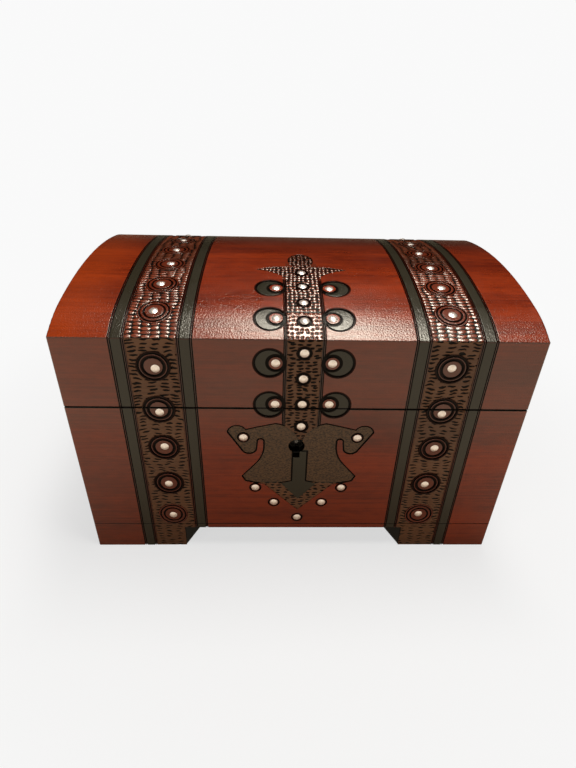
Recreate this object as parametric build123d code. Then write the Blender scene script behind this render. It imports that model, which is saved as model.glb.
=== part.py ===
from build123d import *
from math import atan2, cos, degrees, radians, sin, sqrt, tan
import os

# A domed wooden keepsake chest with carved bands, brass tacks, a small lock and two hinges.
# The chest stands on z = 0, its front faces -Y, and x = 0 and y = 0 run through its middle.

# Outside of the chest
WIDTH = 220.0
DEPTH = 140.0
PLINTH_HEIGHT = 17.5
SEAM_HEIGHT = 96.0
SHOULDER_HEIGHT = 133.0
DOME_RISE = 12.0
DOME_EDGE_SLOPE = 29.0
DOME_CROWN_SLOPE = 11.0

# Boards and their joints
WALL = 10.0
TOP_THICKNESS = 6.0
BOTTOM_THICKNESS = 4.0
CORNER_LAP = 5.0
PANEL_CLEARANCE = 0.25
SEAM_GAP = 0.3
ARRIS_RADIUS = 0.8
SEAM_CHAMFER = 0.4
JOINT_CHAMFER = 0.3
OVERRUN = 1.0

# Plinth rails and the corner feet that they form
RAIL_DEPTH = 20.0
BRIDGE_THICKNESS = 3.0
FRONT_FOOT = 49.0
SIDE_FOOT = 36.0
FOOT_SPLAY = 26.0

# Carved work
CARVING_OFFSET = 1.4
CARVE_DEPTH = 0.6
PAINT_DEPTH = 0.25
SCORE_WIDTH = 0.5
SCORE_SPACE = 0.3
BAND_OFFSET = 67.3
STRIPE_WIDTH = 4.3
FIELD_WIDTH = 22.7
STRAP_WIDTH = 15.6
RING_OUTER = 7.1
RING_OUTER_CUT = 0.9
RING_INNER = 5.2
RING_INNER_CUT = 1.0
RING_MARGIN = 0.6
EAR_RADIUS = 7.2
EAR_CUT = 0.8
EAR_OFFSET = 15.5
EYE_RADIUS = 4.0
EYE_CUT = 0.9
EYE_OFFSET = 12.75
COLLAR_RADIUS = 3.2
COLLAR_CUT = 0.9
COLLAR_MARGIN = 0.3

# Rows of the carved work, as shares of the height or of the dome's length that each row follows
BODY_RING_SHARES = (0.095, 0.389, 0.695)
LID_RING_SHARE = 0.61
DOME_RING_COUNT = 6
DOME_RING_FIRST_SHARE = 0.112
LID_STRAP_SHARES = (0.449, 0.815)
DOME_STRAP_SHARES = (0.074, 0.165, 0.264, 0.364)
BODY_STRAP_SHARE = 0.866
LID_EAR_SHARE = 0.673
DOME_EAR_SHARES = (0.085, 0.251)
SEAM_EAR_RISE = 2.3
SEAM_RING_DROP = 0.9

# How far each ring's tack sits off the ring's middle, across and up, in shares of the inner ring
FRONT_STRAY_SHARES = (
    ((0.0, -0.1), (-0.03, -0.1), (0.06, 0.1), (0.03, -0.3), (0.16, -0.2)),
    ((-0.06, 0.1), (-0.08, -0.1), (0.05, 0.05), (0.0, -0.3), (-0.04, 0.1)),
)
DOME_STRAY_SHARES = (
    ((-0.08, 0.0), (-0.14, 0.05), (0.1, 0.1), (0.0, -0.1), (0.05, 0.05), (-0.08, 0.0)),
    ((0.08, -0.05), (0.1, 0.0), (0.08, 0.0), (-0.05, 0.08), (0.0, -0.1), (0.06, 0.02)),
)

# Lock plate that is carved round the keyhole
PLATE_HALF_WIDTH = 35.3
PLATE_HEIGHT = 38.5
PLATE_TOP_DROP = 9.2
PLATE_LINE = 0.8
PLATE_STEM_HALF = 4.1
POINT_DROP = 19.7
POINT_HALF_WIDTH = 22.0
POINT_CORE_HALF = 12.4
POINT_CORE_DROP = 11.7

# Fleur at the top of the strap, on the dome
FLEUR_SHARE = 0.4
FLEUR_HALF_WIDTH = 22.8
FLEUR_HEIGHT = 18.0
KNOB_HALF_WIDTH = 6.7
KNOB_HALF_HEIGHT = 9.6

# Brass tacks
TACK_RADIUS = 2.0
TACK_CROWN = 0.6
TACK_SHANK_RADIUS = 0.7
TACK_SHANK_LENGTH = 3.4
SEAM_TACK_GAP = 0.3

# Keyhole and lock
KEYHOLE_OFFSET = -0.4
KEYHOLE_DROP = 23.0
KEYHOLE_RADIUS = 4.1
KEYHOLE_SLOT = 3.4
KEYHOLE_TAIL = 7.4
LOCK_WIDTH = 34.0
LOCK_HEIGHT = 36.0
LOCK_DEPTH = 6.0
LOCK_SHEET = 1.0
LOCK_FACE = 1.5
CAP_FLANGE = 5.0
CAP_THICKNESS = 1.0
BOLT_THICKNESS = 2.5
BOLT_LENGTH = 22.5
BOLT_HEIGHT = 7.8
BOLT_RISE = 5.2
BOLT_THROW = 4.5
BOLT_CLEARANCE = 0.2
BOLT_SETBACK = 1.0
TALON_WIDTH = 6.0
TALON_HEIGHT = 2.4
ARM_WIDTH = 4.5
NOSE_HEIGHT = 3.0
NOSE_SETBACK = 0.6
NOSE_CLEARANCE = 0.3
STUD_RADIUS = 1.1
STUD_MARGIN = 2.0
POST_RADIUS = 0.9
SPRING_THICKNESS = 0.4
SPRING_WIDTH = 2.0
STRIKE_LENGTH = 34.0
STRIKE_WIDTH = 4.8
STRIKE_THICKNESS = 1.2
HOOK_WIDTH = 8.0
HOOK_STEM = 3.4
HOOK_THICKNESS = 2.0
HOOK_LIP = 1.5
HOOK_SWING = 0.6

# Hinges
HINGE_OFFSET = 60.0
HINGE_LENGTH = 30.0
HINGE_INSET = 2.2
LEAF_WIDTH = 6.8
LEAF_THICKNESS = 1.2
BARREL_RADIUS = 1.9
BARREL_CLEARANCE = 0.3
KNUCKLE_GAP = 0.2
PIN_RADIUS = 0.9
PIN_TIGHT = 0.02
PIN_RUNNING = 0.05
OPEN_ANGLE = 100.0
BEVEL_MARGIN = 1.0

# Countersunk screws of the hinges, the lock and the strike
SCREW_RADIUS = 0.9
SCREW_HEAD_RADIUS = 1.7
SCREW_HEAD_HEIGHT = 0.9
SCREW_LENGTH = 8.0
CAP_SCREW_LENGTH = 5.5
SCREW_SLOT_WIDTH = 0.5
SCREW_SLOT_DEPTH = 0.4
SCREW_CLEARANCE = 0.04
HINGE_SCREW_OFFSET = 9.0
STRIKE_SCREW_OFFSET = 12.5

# Places worked out from the sizes above
HALF_WIDTH = WIDTH / 2
FRONT = -DEPTH / 2
BACK = DEPTH / 2
INNER_X = HALF_WIDTH - WALL
INNER_FRONT = FRONT + WALL
INNER_BACK = BACK - WALL
LAP_FRONT = FRONT + CORNER_LAP
LAP_BACK = BACK - CORNER_LAP
FLOOR_TOP = PLINTH_HEIGHT + BOTTOM_THICKNESS
LID_BASE = SEAM_HEIGHT + SEAM_GAP
BODY_FACE = SEAM_HEIGHT - PLINTH_HEIGHT
LID_FACE = SHOULDER_HEIGHT - LID_BASE
CREST = SHOULDER_HEIGHT + DOME_RISE
AXIS_Y = BACK - HINGE_INSET
AXIS_Z = SEAM_HEIGHT + SEAM_GAP / 2
BEVEL_ANGLE = OPEN_ANGLE / 2 + BEVEL_MARGIN
BORDER = 2 * SCORE_WIDTH + SCORE_SPACE
ISLAND_RADIUS = RING_OUTER + RING_MARGIN
COLLAR_ISLAND = COLLAR_RADIUS + COLLAR_MARGIN
LOCK_X = KEYHOLE_OFFSET
LOCK_BASE = SEAM_HEIGHT - LOCK_HEIGHT
LOCK_BACK = INNER_FRONT
LOCK_FRONT = INNER_FRONT - LOCK_DEPTH
KEYHOLE_Z = SEAM_HEIGHT - KEYHOLE_DROP
LOCK_MIDDLE = (LOCK_FRONT + LOCK_SHEET + LOCK_BACK) / 2
LOCK_LEFT = LOCK_X - LOCK_WIDTH / 2 + LOCK_SHEET
LOCK_RIGHT = LOCK_X + LOCK_WIDTH / 2 - LOCK_SHEET
LOCK_CEILING = SEAM_HEIGHT - LOCK_FACE
BOLT_BASE = KEYHOLE_Z + BOLT_RISE
BOLT_TOP = BOLT_BASE + BOLT_HEIGHT
BOLT_LEFT = LOCK_LEFT + BOLT_SETBACK
BOLT_RIGHT = BOLT_LEFT + BOLT_LENGTH
HOOK_BASE = BOLT_TOP + HOOK_SWING
NOSE_BASE = HOOK_BASE + HOOK_LIP + NOSE_CLEARANCE
NOSE_TOP = NOSE_BASE + NOSE_HEIGHT
NOSE_TIP = LOCK_X - HOOK_WIDTH / 2 - NOSE_SETBACK
STUD_ROOM = STUD_RADIUS + BOLT_CLEARANCE
STUD_PLACES = (BOLT_LEFT + BOLT_THROW + STUD_ROOM + STUD_MARGIN, BOLT_RIGHT - STUD_ROOM - STUD_MARGIN)
STUD_Z = (BOLT_BASE + TALON_HEIGHT + BOLT_TOP) / 2
PLATE_TOP = SEAM_HEIGHT - PLATE_TOP_DROP
PLATE_BASE = PLATE_TOP - PLATE_HEIGHT

# Dome section: two shoulders and a crown, tangent to each other
EDGE = radians(DOME_EDGE_SLOPE)
CROWN = radians(DOME_CROWN_SLOPE)
FALL = sin(EDGE) - sin(CROWN)
SHOULDER_RADIUS = (DOME_RISE - BACK * tan(CROWN / 2)) / (cos(CROWN) - cos(EDGE) - FALL * tan(CROWN / 2))
CROWN_RADIUS = (BACK - SHOULDER_RADIUS * FALL) / sin(CROWN)
SHOULDER_LENGTH = SHOULDER_RADIUS * (EDGE - CROWN)
DOME_LENGTH = 2 * (SHOULDER_LENGTH + CROWN_RADIUS * CROWN)
MITRE = (radians(90) - EDGE) / 2


def block(x0, x1, y0, y1, z0, z1):
    """A box between two corners."""
    place = Pos((x0 + x1) / 2, (y0 + y1) / 2, (z0 + z1) / 2)
    return place * Box(x1 - x0, y1 - y0, z1 - z0)


def mirrored(shape):
    """The same shape on the other side of x = 0."""
    return mirror(shape, about=Plane.YZ)


def dome_slope(run):
    """The dome's slope at a run of surface from its front edge."""
    if run < SHOULDER_LENGTH:
        return EDGE - run / SHOULDER_RADIUS
    if run <= DOME_LENGTH - SHOULDER_LENGTH:
        return CROWN - (run - SHOULDER_LENGTH) / CROWN_RADIUS
    return (DOME_LENGTH - run) / SHOULDER_RADIUS - EDGE


def dome_point(run, depth=0.0):
    """A point (y, z) on the dome, or at a depth under it, at a run of surface from its front edge."""
    slope = dome_slope(run)
    if abs(slope) <= CROWN:
        radius = CROWN_RADIUS
        centre = (0.0, CREST - CROWN_RADIUS)
    else:
        side = 1 if slope > 0 else -1
        radius = SHOULDER_RADIUS
        centre = (side * (FRONT + radius * sin(EDGE)), SHOULDER_HEIGHT - radius * cos(EDGE))
    reach = radius - depth
    return centre[0] - reach * sin(slope), centre[1] + reach * cos(slope)


def dome_plane(x, run):
    """The plane that touches the dome at a place, with its own y axis up the dome."""
    slope = dome_slope(run)
    y, z = dome_point(run)
    return Plane(origin=(CARVING_OFFSET + x, y, z), x_dir=(1, 0, 0), z_dir=(0, -sin(slope), cos(slope)))


def front_plane(x=0.0, z=0.0):
    """The front face about a place of the carving, with its own y axis upwards."""
    return Plane(origin=(CARVING_OFFSET + x, FRONT, z), x_dir=(1, 0, 0), z_dir=(0, -1, 0))


def dome_line(depth):
    """The dome's section line at a depth, from its front end to its back end."""
    first = mitre_run(depth)
    runs = (first, SHOULDER_LENGTH, DOME_LENGTH / 2, DOME_LENGTH - SHOULDER_LENGTH, DOME_LENGTH - first)
    middles = [(a + b) / 2 for a, b in ((runs[0], runs[1]), (runs[1], runs[3]), (runs[3], runs[4]))]
    ends = (runs[0], runs[1], runs[3], runs[4])
    points = [dome_point(run, depth) for run in ends]
    through = [dome_point(run, depth) for run in middles]
    return [ThreePointArc(points[k], through[k], points[k + 1]) for k in range(3)]


def mitre_run(depth):
    """The run at which the mitre of the dome's front edge reaches a depth."""
    if depth == 0:
        return 0.0
    ahead = SHOULDER_RADIUS * sin(EDGE + MITRE)
    inner = SHOULDER_RADIUS - depth
    length = ahead - sqrt(ahead**2 - SHOULDER_RADIUS**2 + inner**2)
    y = length * cos(MITRE) - SHOULDER_RADIUS * sin(EDGE)
    z = SHOULDER_RADIUS * cos(EDGE) - length * sin(MITRE)
    return SHOULDER_RADIUS * (EDGE - atan2(-y, z))


def section_face(lines):
    """A face in the chest's side section from its outline."""
    return make_face(Plane.YZ * Curve(lines))


def across(face, x0, x1):
    """A side section carried across the chest from x0 to x1."""
    return Pos(x0, 0, 0) * extrude(face, amount=x1 - x0, dir=(1, 0, 0))


def top_section():
    """The curved board of the lid, mitred to the rails along both long edges."""
    outer = dome_line(0.0)
    inner = dome_line(TOP_THICKNESS)
    ends = [Line(outer[0] @ 0, inner[0] @ 0), Line(outer[2] @ 1, inner[2] @ 1)]
    return section_face(outer + inner + ends)


def under_dome(depth, y0, y1):
    """The section of the lid below the dome's line at a depth, between two places front to back."""
    lines = dome_line(depth)
    start, end = lines[0] @ 0, lines[2] @ 1
    floor = [Line(start, (start.X, LID_BASE)), Line((start.X, LID_BASE), (end.X, LID_BASE))]
    face = section_face(lines + floor + [Line((end.X, LID_BASE), end)])
    window = Plane.YZ * Pos((y0 + y1) / 2, CREST) * Rectangle(y1 - y0, 2 * CREST)
    return face & window


def dome_skin(x0, x1, depth):
    """The outermost layer of the dome, from a little above it to a depth under it."""
    top = CREST + OVERRUN
    lines = dome_line(depth)
    left, right = lines[0] @ 0, lines[2] @ 1
    reach = WALL + DOME_RISE
    frame = [
        Line(left, (left.X - reach, left.Y)),
        Line((left.X - reach, left.Y), (left.X - reach, top)),
        Line((left.X - reach, top), (right.X + reach, top)),
        Line((right.X + reach, top), (right.X + reach, right.Y)),
        Line((right.X + reach, right.Y), right),
    ]
    return across(section_face(lines + frame), x0, x1)


def keyhole(radius, slot, tail, y0, y1):
    """The keyhole's shape carried from y0 to y1."""
    shape = Circle(radius) + Pos(0, -tail / 2) * Rectangle(slot, tail)
    plane = Plane(origin=(LOCK_X, y0, KEYHOLE_Z), x_dir=(1, 0, 0), z_dir=(0, -1, 0))
    return extrude(plane * shape, amount=-(y1 - y0))


# Layout of the carved work


def band_edges():
    """The two score lines at each side of both stripes, as places from the band's middle."""
    field = FIELD_WIDTH / 2
    starts = (field, field + BORDER + STRIPE_WIDTH)
    lines = []
    for start in starts:
        lines.append(start + SCORE_WIDTH / 2)
        lines.append(start + SCORE_WIDTH + SCORE_SPACE + SCORE_WIDTH / 2)
    return [side * line for side in (-1, 1) for line in lines]


def front_ring_rows():
    """The heights of the rings on the front, one of them cut through by the seam."""
    rows = [PLINTH_HEIGHT + share * BODY_FACE for share in BODY_RING_SHARES]
    return rows + [SEAM_HEIGHT - SEAM_RING_DROP, LID_BASE + LID_RING_SHARE * LID_FACE]


def dome_ring_runs():
    """The runs of the rings over the dome, alike from both edges."""
    first = DOME_RING_FIRST_SHARE * DOME_LENGTH
    pitch = (DOME_LENGTH - 2 * first) / (DOME_RING_COUNT - 1)
    return [first + k * pitch for k in range(DOME_RING_COUNT)]


SEAM_TACK_Z = LID_BASE + SEAM_TACK_GAP + TACK_RADIUS
SEAM_EAR_Z = SEAM_HEIGHT + SEAM_EAR_RISE
LID_EAR_Z = LID_BASE + LID_EAR_SHARE * LID_FACE
BODY_STRAP_Z = PLINTH_HEIGHT + BODY_STRAP_SHARE * BODY_FACE


def strap_rows():
    """The heights of the tacks down the strap on the front."""
    lid = [LID_BASE + share * LID_FACE for share in LID_STRAP_SHARES]
    return [BODY_STRAP_Z, SEAM_TACK_Z] + lid


def dome_strap_runs():
    """The runs of the tacks up the strap on the dome."""
    return [share * DOME_LENGTH for share in DOME_STRAP_SHARES]


def dome_ear_runs():
    """The runs of the ears on the dome."""
    return [share * DOME_LENGTH for share in DOME_EAR_SHARES]


# Outline of half the lock plate, in shares of its half width and of its height from its base
PLATE_ARCH_SHARES = ((0.03, 0.745), (0.15, 0.915), (0.35, 1.0))
PLATE_BROW_SHARES = ((0.35, 1.0), (0.57, 0.95), (0.77, 0.9))
PLATE_EAR_SHARES = ((0.77, 0.9), (0.895, 0.965), (1.0, 0.875))
PLATE_SNOUT_SHARES = ((0.805, 0.575), (0.71, 0.53), (0.63, 0.585))
PLATE_NOTCH_SHARES = ((0.615, 0.71), (0.56, 0.775), (0.5, 0.705))
PLATE_WAIST_SHARES = ((0.5, 0.705), (0.525, 0.5), (0.63, 0.33))
PLATE_FLARE_SHARE = (0.815, 0.125)
PLATE_SKIRT_SHARES = ((0.775, 0.05), (0.42, 0.0))
PLATE_STEM_TOP_SHARE = 0.57
PLATE_STEM_BASE_SHARE = 0.045
POINT_TOP_SHARE = 0.09
PLATE_TACK_SHARES = (0.795, 0.785)
POINT_TACK_SHARES = ((0.64, -0.085), (0.362, -0.365), (0.0, -0.665))


def plate_point(shares):
    """A place on the lock plate from its shares."""
    return shares[0] * PLATE_HALF_WIDTH, PLATE_BASE + shares[1] * PLATE_HEIGHT


def plate_arc(shares):
    """An arc of the lock plate's outline, through three places."""
    return ThreePointArc(*[plate_point(place) for place in shares])


def plate_half():
    """The right half of the carved lock plate, as a face on the front."""
    arch, brow = plate_arc(PLATE_ARCH_SHARES), plate_arc(PLATE_BROW_SHARES)
    ear, snout = plate_arc(PLATE_EAR_SHARES), plate_arc(PLATE_SNOUT_SHARES)
    notch, waist = plate_arc(PLATE_NOTCH_SHARES), plate_arc(PLATE_WAIST_SHARES)
    flare, skirt = plate_point(PLATE_FLARE_SHARE), plate_point(PLATE_SKIRT_SHARES[0])
    stem_base = (PLATE_STEM_HALF, PLATE_BASE + PLATE_STEM_BASE_SHARE * PLATE_HEIGHT)
    stem_top = (PLATE_STEM_HALF, PLATE_BASE + PLATE_STEM_TOP_SHARE * PLATE_HEIGHT)
    corner = ((arch @ 0).X, stem_top[1])
    lines = [
        arch,
        brow,
        ear,
        Line(ear @ 1, snout @ 0),
        snout,
        Line(snout @ 1, notch @ 0),
        notch,
        waist,
        Line(waist @ 1, flare),
        Line(flare, skirt),
        ThreePointArc(skirt, plate_point(PLATE_SKIRT_SHARES[1]), stem_base),
        Line(stem_base, stem_top),
        Line(stem_top, corner),
        Line(corner, arch @ 0),
    ]
    return make_face(Curve(lines))


def both(face):
    """A flat face and its mirror image across the chest's middle."""
    return face + mirror(face, about=Plane.YZ)


def outlined(face):
    """The narrow line that is cut round a face."""
    return offset(face, amount=PLATE_LINE) - face


def point_face(half_width, drop):
    """A downward point that hangs from the lock plate's base."""
    top = PLATE_BASE + POINT_TOP_SHARE * PLATE_HEIGHT
    corners = [(-half_width, top), (0, PLATE_BASE - drop), (half_width, top)]
    return make_face(Curve([Polyline(*corners, close=True)]))


def annulus(radius, cut):
    """A ring shaped groove, from its outer radius and its width."""
    return Circle(radius) - Circle(radius - cut)


# Outline of the fleur's right wing, in shares of its half width and of its height from its middle
WING_UNDER_SHARES = ((0.33, -0.65), (0.5, -0.42), (1.0, -0.12))
WING_OVER_SHARES = ((1.0, -0.12), (0.66, 0.05), (0.3, 0.09))
KNOB_CENTRE_SHARE = 0.57


def fleur_face():
    """The fleur's wings and knob, as one face about its middle."""
    under = [(a * FLEUR_HALF_WIDTH, b * FLEUR_HEIGHT) for a, b in WING_UNDER_SHARES]
    over = [(a * FLEUR_HALF_WIDTH, b * FLEUR_HEIGHT) for a, b in WING_OVER_SHARES]
    foot, top = (0.0, under[0][1]), (0.0, over[-1][1])
    lines = [Line(foot, under[0]), ThreePointArc(*under), ThreePointArc(*over)]
    lines += [Line(over[-1], top), Line(top, foot)]
    knob = Pos(0, KNOB_CENTRE_SHARE * FLEUR_HEIGHT) * Ellipse(KNOB_HALF_WIDTH, KNOB_HALF_HEIGHT)
    return both(make_face(Curve(lines))) + knob


def band_places(rows):
    """The places of both bands' rings, from their rows, the left band first."""
    return [(side * BAND_OFFSET, row) for side in (-1, 1) for row in rows]


def strayed(rows, strays):
    """The places of the tacks in both bands' rings, each a little off its ring's middle."""
    places = []
    for side, shares in zip((-1, 1), strays):
        for k, row in enumerate(rows):
            across_share, up_share = shares[k % len(shares)]
            places.append((side * BAND_OFFSET + across_share * RING_INNER, row + up_share * RING_INNER))
    return places


def eye_places(rows):
    """The places of the tacks in the ears, from their rows."""
    return [(side * EYE_OFFSET, row) for side in (-1, 1) for row in rows]


def front_collars():
    """The places of the front tacks that have a plain collar: the strap's and those round the lock plate."""
    strap = [(0.0, z) for z in strap_rows()]
    plate = plate_point(PLATE_TACK_SHARES)
    points = [plate_point(p) for p in POINT_TACK_SHARES]
    lone = [(side * x, z) for side in (-1, 1) for x, z in [plate] + points[:-1]]
    return strap + lone + [points[-1]]


def dome_collars():
    """The places of the strap's tacks on the dome, as (x, run)."""
    return [(0.0, run) for run in dome_strap_runs()]


def front_tacks():
    """The places of the tacks on the front, as (x, z)."""
    rings = strayed(front_ring_rows(), FRONT_STRAY_SHARES)
    return rings + eye_places((SEAM_TACK_Z, LID_EAR_Z)) + front_collars()


def dome_tacks():
    """The places of the tacks on the dome, as (x, run)."""
    rings = strayed(dome_ring_runs(), DOME_STRAY_SHARES)
    return rings + eye_places(dome_ear_runs()) + dome_collars()


def round_grooves(rings, eyes, collars):
    """Every round groove about a tack, as its place, its radius and its width."""
    cuts = [(x, row, RING_OUTER, RING_OUTER_CUT) for x, row in rings]
    cuts += [(x, row, RING_INNER, RING_INNER_CUT) for x, row in rings]
    cuts += [(x, row, EYE_RADIUS, EYE_CUT) for x, row in eyes]
    return cuts + [(x, row, COLLAR_RADIUS, COLLAR_CUT) for x, row in collars]


# Carving of the front


def joined(shapes):
    """Flat shapes joined into one."""
    whole = Sketch() + shapes[0]
    return whole + shapes[1:]


def stripes_layout(places, width, length):
    """Long upright strips of one width about the given places."""
    return [Pos(x, 0) * Rectangle(width, length) for x in places]


def strap_scores():
    """The places of the two score lines at each side of the strap."""
    first = STRAP_WIDTH / 2 + SCORE_SPACE + SCORE_WIDTH / 2
    return [side * (first + step * (SCORE_SPACE + SCORE_WIDTH)) for side in (-1, 1) for step in (0, 1)]


def band_layout(length, islands):
    """Both bands' fields and score lines, with round islands left standing."""
    places = [side * BAND_OFFSET + line for side in (-1, 1) for line in band_edges()]
    fields = stripes_layout((-BAND_OFFSET, BAND_OFFSET), FIELD_WIDTH - 2 * SCORE_SPACE, length)
    return joined(fields) - islands + stripes_layout(places, SCORE_WIDTH, length)


def front_layout():
    """Everything that is cut to full depth into the front, in the front's own plane."""
    tall = 2 * CREST
    plates = both(plate_half())
    plate_lines = both(outlined(plate_half()))
    sides = (-1, 1)
    rings = band_places(front_ring_rows())
    islands = [Pos(x, z) * Circle(ISLAND_RADIUS) for x, z in rings]
    point = point_face(POINT_HALF_WIDTH, POINT_DROP) - point_face(POINT_CORE_HALF, POINT_CORE_DROP)
    strap = joined([Rectangle(STRAP_WIDTH, tall)])
    strap -= [Pos(0, z) * Circle(COLLAR_ISLAND) for z in strap_rows()]
    strap += stripes_layout(strap_scores(), SCORE_WIDTH, tall)
    strap &= Pos(0, KEYHOLE_Z + tall / 2) * Rectangle(PLATE_HALF_WIDTH, tall)
    ear = annulus(EAR_RADIUS, EAR_CUT)
    grooves = [Pos(side * EAR_OFFSET, z) * ear for side in sides for z in (SEAM_EAR_Z, LID_EAR_Z)]
    for x, z, radius, cut in round_grooves(rings, eye_places((SEAM_TACK_Z, LID_EAR_Z)), front_collars()):
        grooves.append(Pos(x, z) * annulus(radius, cut))
    return joined([band_layout(tall, islands), (strap + point) - plates, plate_lines] + grooves)


def front_paint_layout():
    """The shallow painted pockets of the front: crescents, lock plate, stem and point."""
    room = PLATE_LINE / 2
    plates = both(offset(plate_half(), amount=room))
    stem_base = PLATE_BASE + PLATE_STEM_BASE_SHARE * PLATE_HEIGHT
    stem_height = KEYHOLE_Z - stem_base
    stem = Pos(0, stem_base + stem_height / 2) * Rectangle(2 * PLATE_STEM_HALF - room, stem_height)
    pockets = [plates, point_face(POINT_CORE_HALF, POINT_CORE_DROP), stem]
    for side in (-1, 1):
        for ear_z, eye_z in ((SEAM_EAR_Z, SEAM_TACK_Z), (LID_EAR_Z, LID_EAR_Z)):
            moon = Pos(side * EAR_OFFSET, ear_z) * Circle(EAR_RADIUS - EAR_CUT / 2)
            pockets.append(moon - Pos(side * EYE_OFFSET, eye_z) * Circle(EYE_RADIUS - EYE_CUT / 2))
    place, height = plate_point(PLATE_TACK_SHARES)
    ears = [Pos(side * place, height) * Circle(COLLAR_RADIUS - COLLAR_CUT / 2) for side in (-1, 1)]
    return joined(pockets) - ears


def cut_from_front(layout, depth):
    """The solids that cut a layout into the front to a depth."""
    plane = Plane(origin=(CARVING_OFFSET, FRONT - OVERRUN, 0), x_dir=(1, 0, 0), z_dir=(0, -1, 0))
    return extrude(plane * layout, amount=-(OVERRUN + depth))


def tack(plane):
    """One brass tack, its flat underside on a plane and its shank below."""
    ball = (TACK_RADIUS**2 + TACK_CROWN**2) / (2 * TACK_CROWN)
    head = Pos(0, 0, TACK_CROWN - ball) * Sphere(ball)
    cap = head & Pos(0, 0, ball) * Box(2 * ball, 2 * ball, 2 * ball)
    shank = Pos(0, 0, -TACK_SHANK_LENGTH / 2) * Cylinder(TACK_SHANK_RADIUS, TACK_SHANK_LENGTH)
    return plane * (cap + shank)


def tack_hole(plane):
    """The hole that a tack's shank fills."""
    depth = TACK_SHANK_LENGTH + OVERRUN
    return plane * Pos(0, 0, OVERRUN - depth / 2) * Cylinder(TACK_SHANK_RADIUS, depth)


def front_tack_planes(low, high):
    """The planes of the front tacks whose heights lie between two values."""
    return [front_plane(x, z) for x, z in front_tacks() if low < z < high]


def screw(length):
    """A countersunk wood screw that points down from the origin, its head's face at z = 0."""
    taper = SCREW_HEAD_HEIGHT
    profile = [
        (0, 0),
        (SCREW_HEAD_RADIUS, 0),
        (SCREW_RADIUS, -taper),
        (SCREW_RADIUS, -length + 2 * SCREW_RADIUS),
        (0, -length),
    ]
    shape = revolve(make_face(Plane.XZ * Curve([Polyline(*profile, close=True)])), Axis.Z)
    slot = Pos(0, 0, -SCREW_SLOT_DEPTH / 2) * Box(2 * SCREW_HEAD_RADIUS, SCREW_SLOT_WIDTH, SCREW_SLOT_DEPTH)
    return shape - slot


def screw_hole(length):
    """The hole that a countersunk screw fills, with its clearance."""
    gap = SCREW_CLEARANCE
    profile = [
        (0, OVERRUN),
        (SCREW_HEAD_RADIUS + gap, OVERRUN),
        (SCREW_HEAD_RADIUS + gap, 0),
        (SCREW_RADIUS + gap, -SCREW_HEAD_HEIGHT),
        (SCREW_RADIUS + gap, -length + 2 * SCREW_RADIUS),
        (0, -length - gap),
    ]
    return revolve(make_face(Plane.XZ * Curve([Polyline(*profile, close=True)])), Axis.Z)


# Places of the screws


def hinge_screws(upward):
    """Where the hinge screws sit, in the body's leaves or, upward, in the lid's."""
    y = AXIS_Y - LEAF_WIDTH / 2 - BARREL_RADIUS / 2
    sides = (-1, 1)
    places = [hinge * HINGE_OFFSET + side * HINGE_SCREW_OFFSET for hinge in sides for side in sides]
    if upward:
        return [Pos(x, y, LID_BASE) * Rot(180, 0, 0) for x in places]
    return [Pos(x, y, SEAM_HEIGHT) for x in places]


def cap_screws():
    """Where the four screws of the lock's cap sit, pointing forwards into the front wall."""
    y = LOCK_BACK + CAP_THICKNESS
    out = LOCK_WIDTH / 2 + CAP_FLANGE / 2
    rows = (LOCK_BASE + CAP_FLANGE, SEAM_HEIGHT - CAP_FLANGE)
    return [Pos(LOCK_X + side * out, y, z) * Rot(-90, 0, 0) for side in (-1, 1) for z in rows]


def strike_screws():
    """Where the two screws of the strike sit, pointing up into the lid."""
    places = [LOCK_X + side * STRIKE_SCREW_OFFSET for side in (-1, 1)]
    return [Pos(x, LOCK_MIDDLE, LID_BASE) * Rot(180, 0, 0) for x in places]


# Cuts that several pieces share


def barrel_room():
    """The round seat that both back boards leave for the hinge barrels."""
    radius = BARREL_RADIUS + BARREL_CLEARANCE
    length = HINGE_LENGTH + 2 * BARREL_CLEARANCE
    places = [Pos(x, AXIS_Y, AXIS_Z) for x in (-HINGE_OFFSET, HINGE_OFFSET)]
    return [place * Rot(0, 90, 0) * Cylinder(radius, length) for place in places]


def leaf_room(z0, z1):
    """The mortises of both hinge leaves between two heights."""
    half = HINGE_LENGTH / 2
    places = (-HINGE_OFFSET, HINGE_OFFSET)
    return [block(x - half, x + half, AXIS_Y - LEAF_WIDTH, AXIS_Y, z0, z1) for x in places]


def back_bevel(level, way):
    """The bevel behind the hinge line that lets the lid swing back, below or above the seam."""
    run = HINGE_INSET + OVERRUN
    drop = way * run * tan(radians(BEVEL_ANGLE))
    corners = [(AXIS_Y, level), (AXIS_Y + run, level), (AXIS_Y + run, level + drop)]
    face = section_face([Polyline(*corners, close=True)])
    return across(face, -HALF_WIDTH - OVERRUN, HALF_WIDTH + OVERRUN)


def eased(shape, z, size):
    """The shape with those of its edges chamfered that lie on the chest's outside at a height."""
    level = shape.edges().filter_by_position(Axis.Z, z - size, z + size)
    ends = [e for e in level.filter_by(Axis.Y) if abs(abs(e.center().X) - HALF_WIDTH) < size]
    faces = [e for e in level.filter_by(Axis.X) if abs(abs(e.center().Y) - BACK) < size]
    return chamfer(ends + faces, size)


def footprint():
    """A tall block over the chest's whole plan, with rounded upright corners."""
    return extrude(RectangleRounded(WIDTH, DEPTH, ARRIS_RADIUS), amount=2 * CREST)


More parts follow.
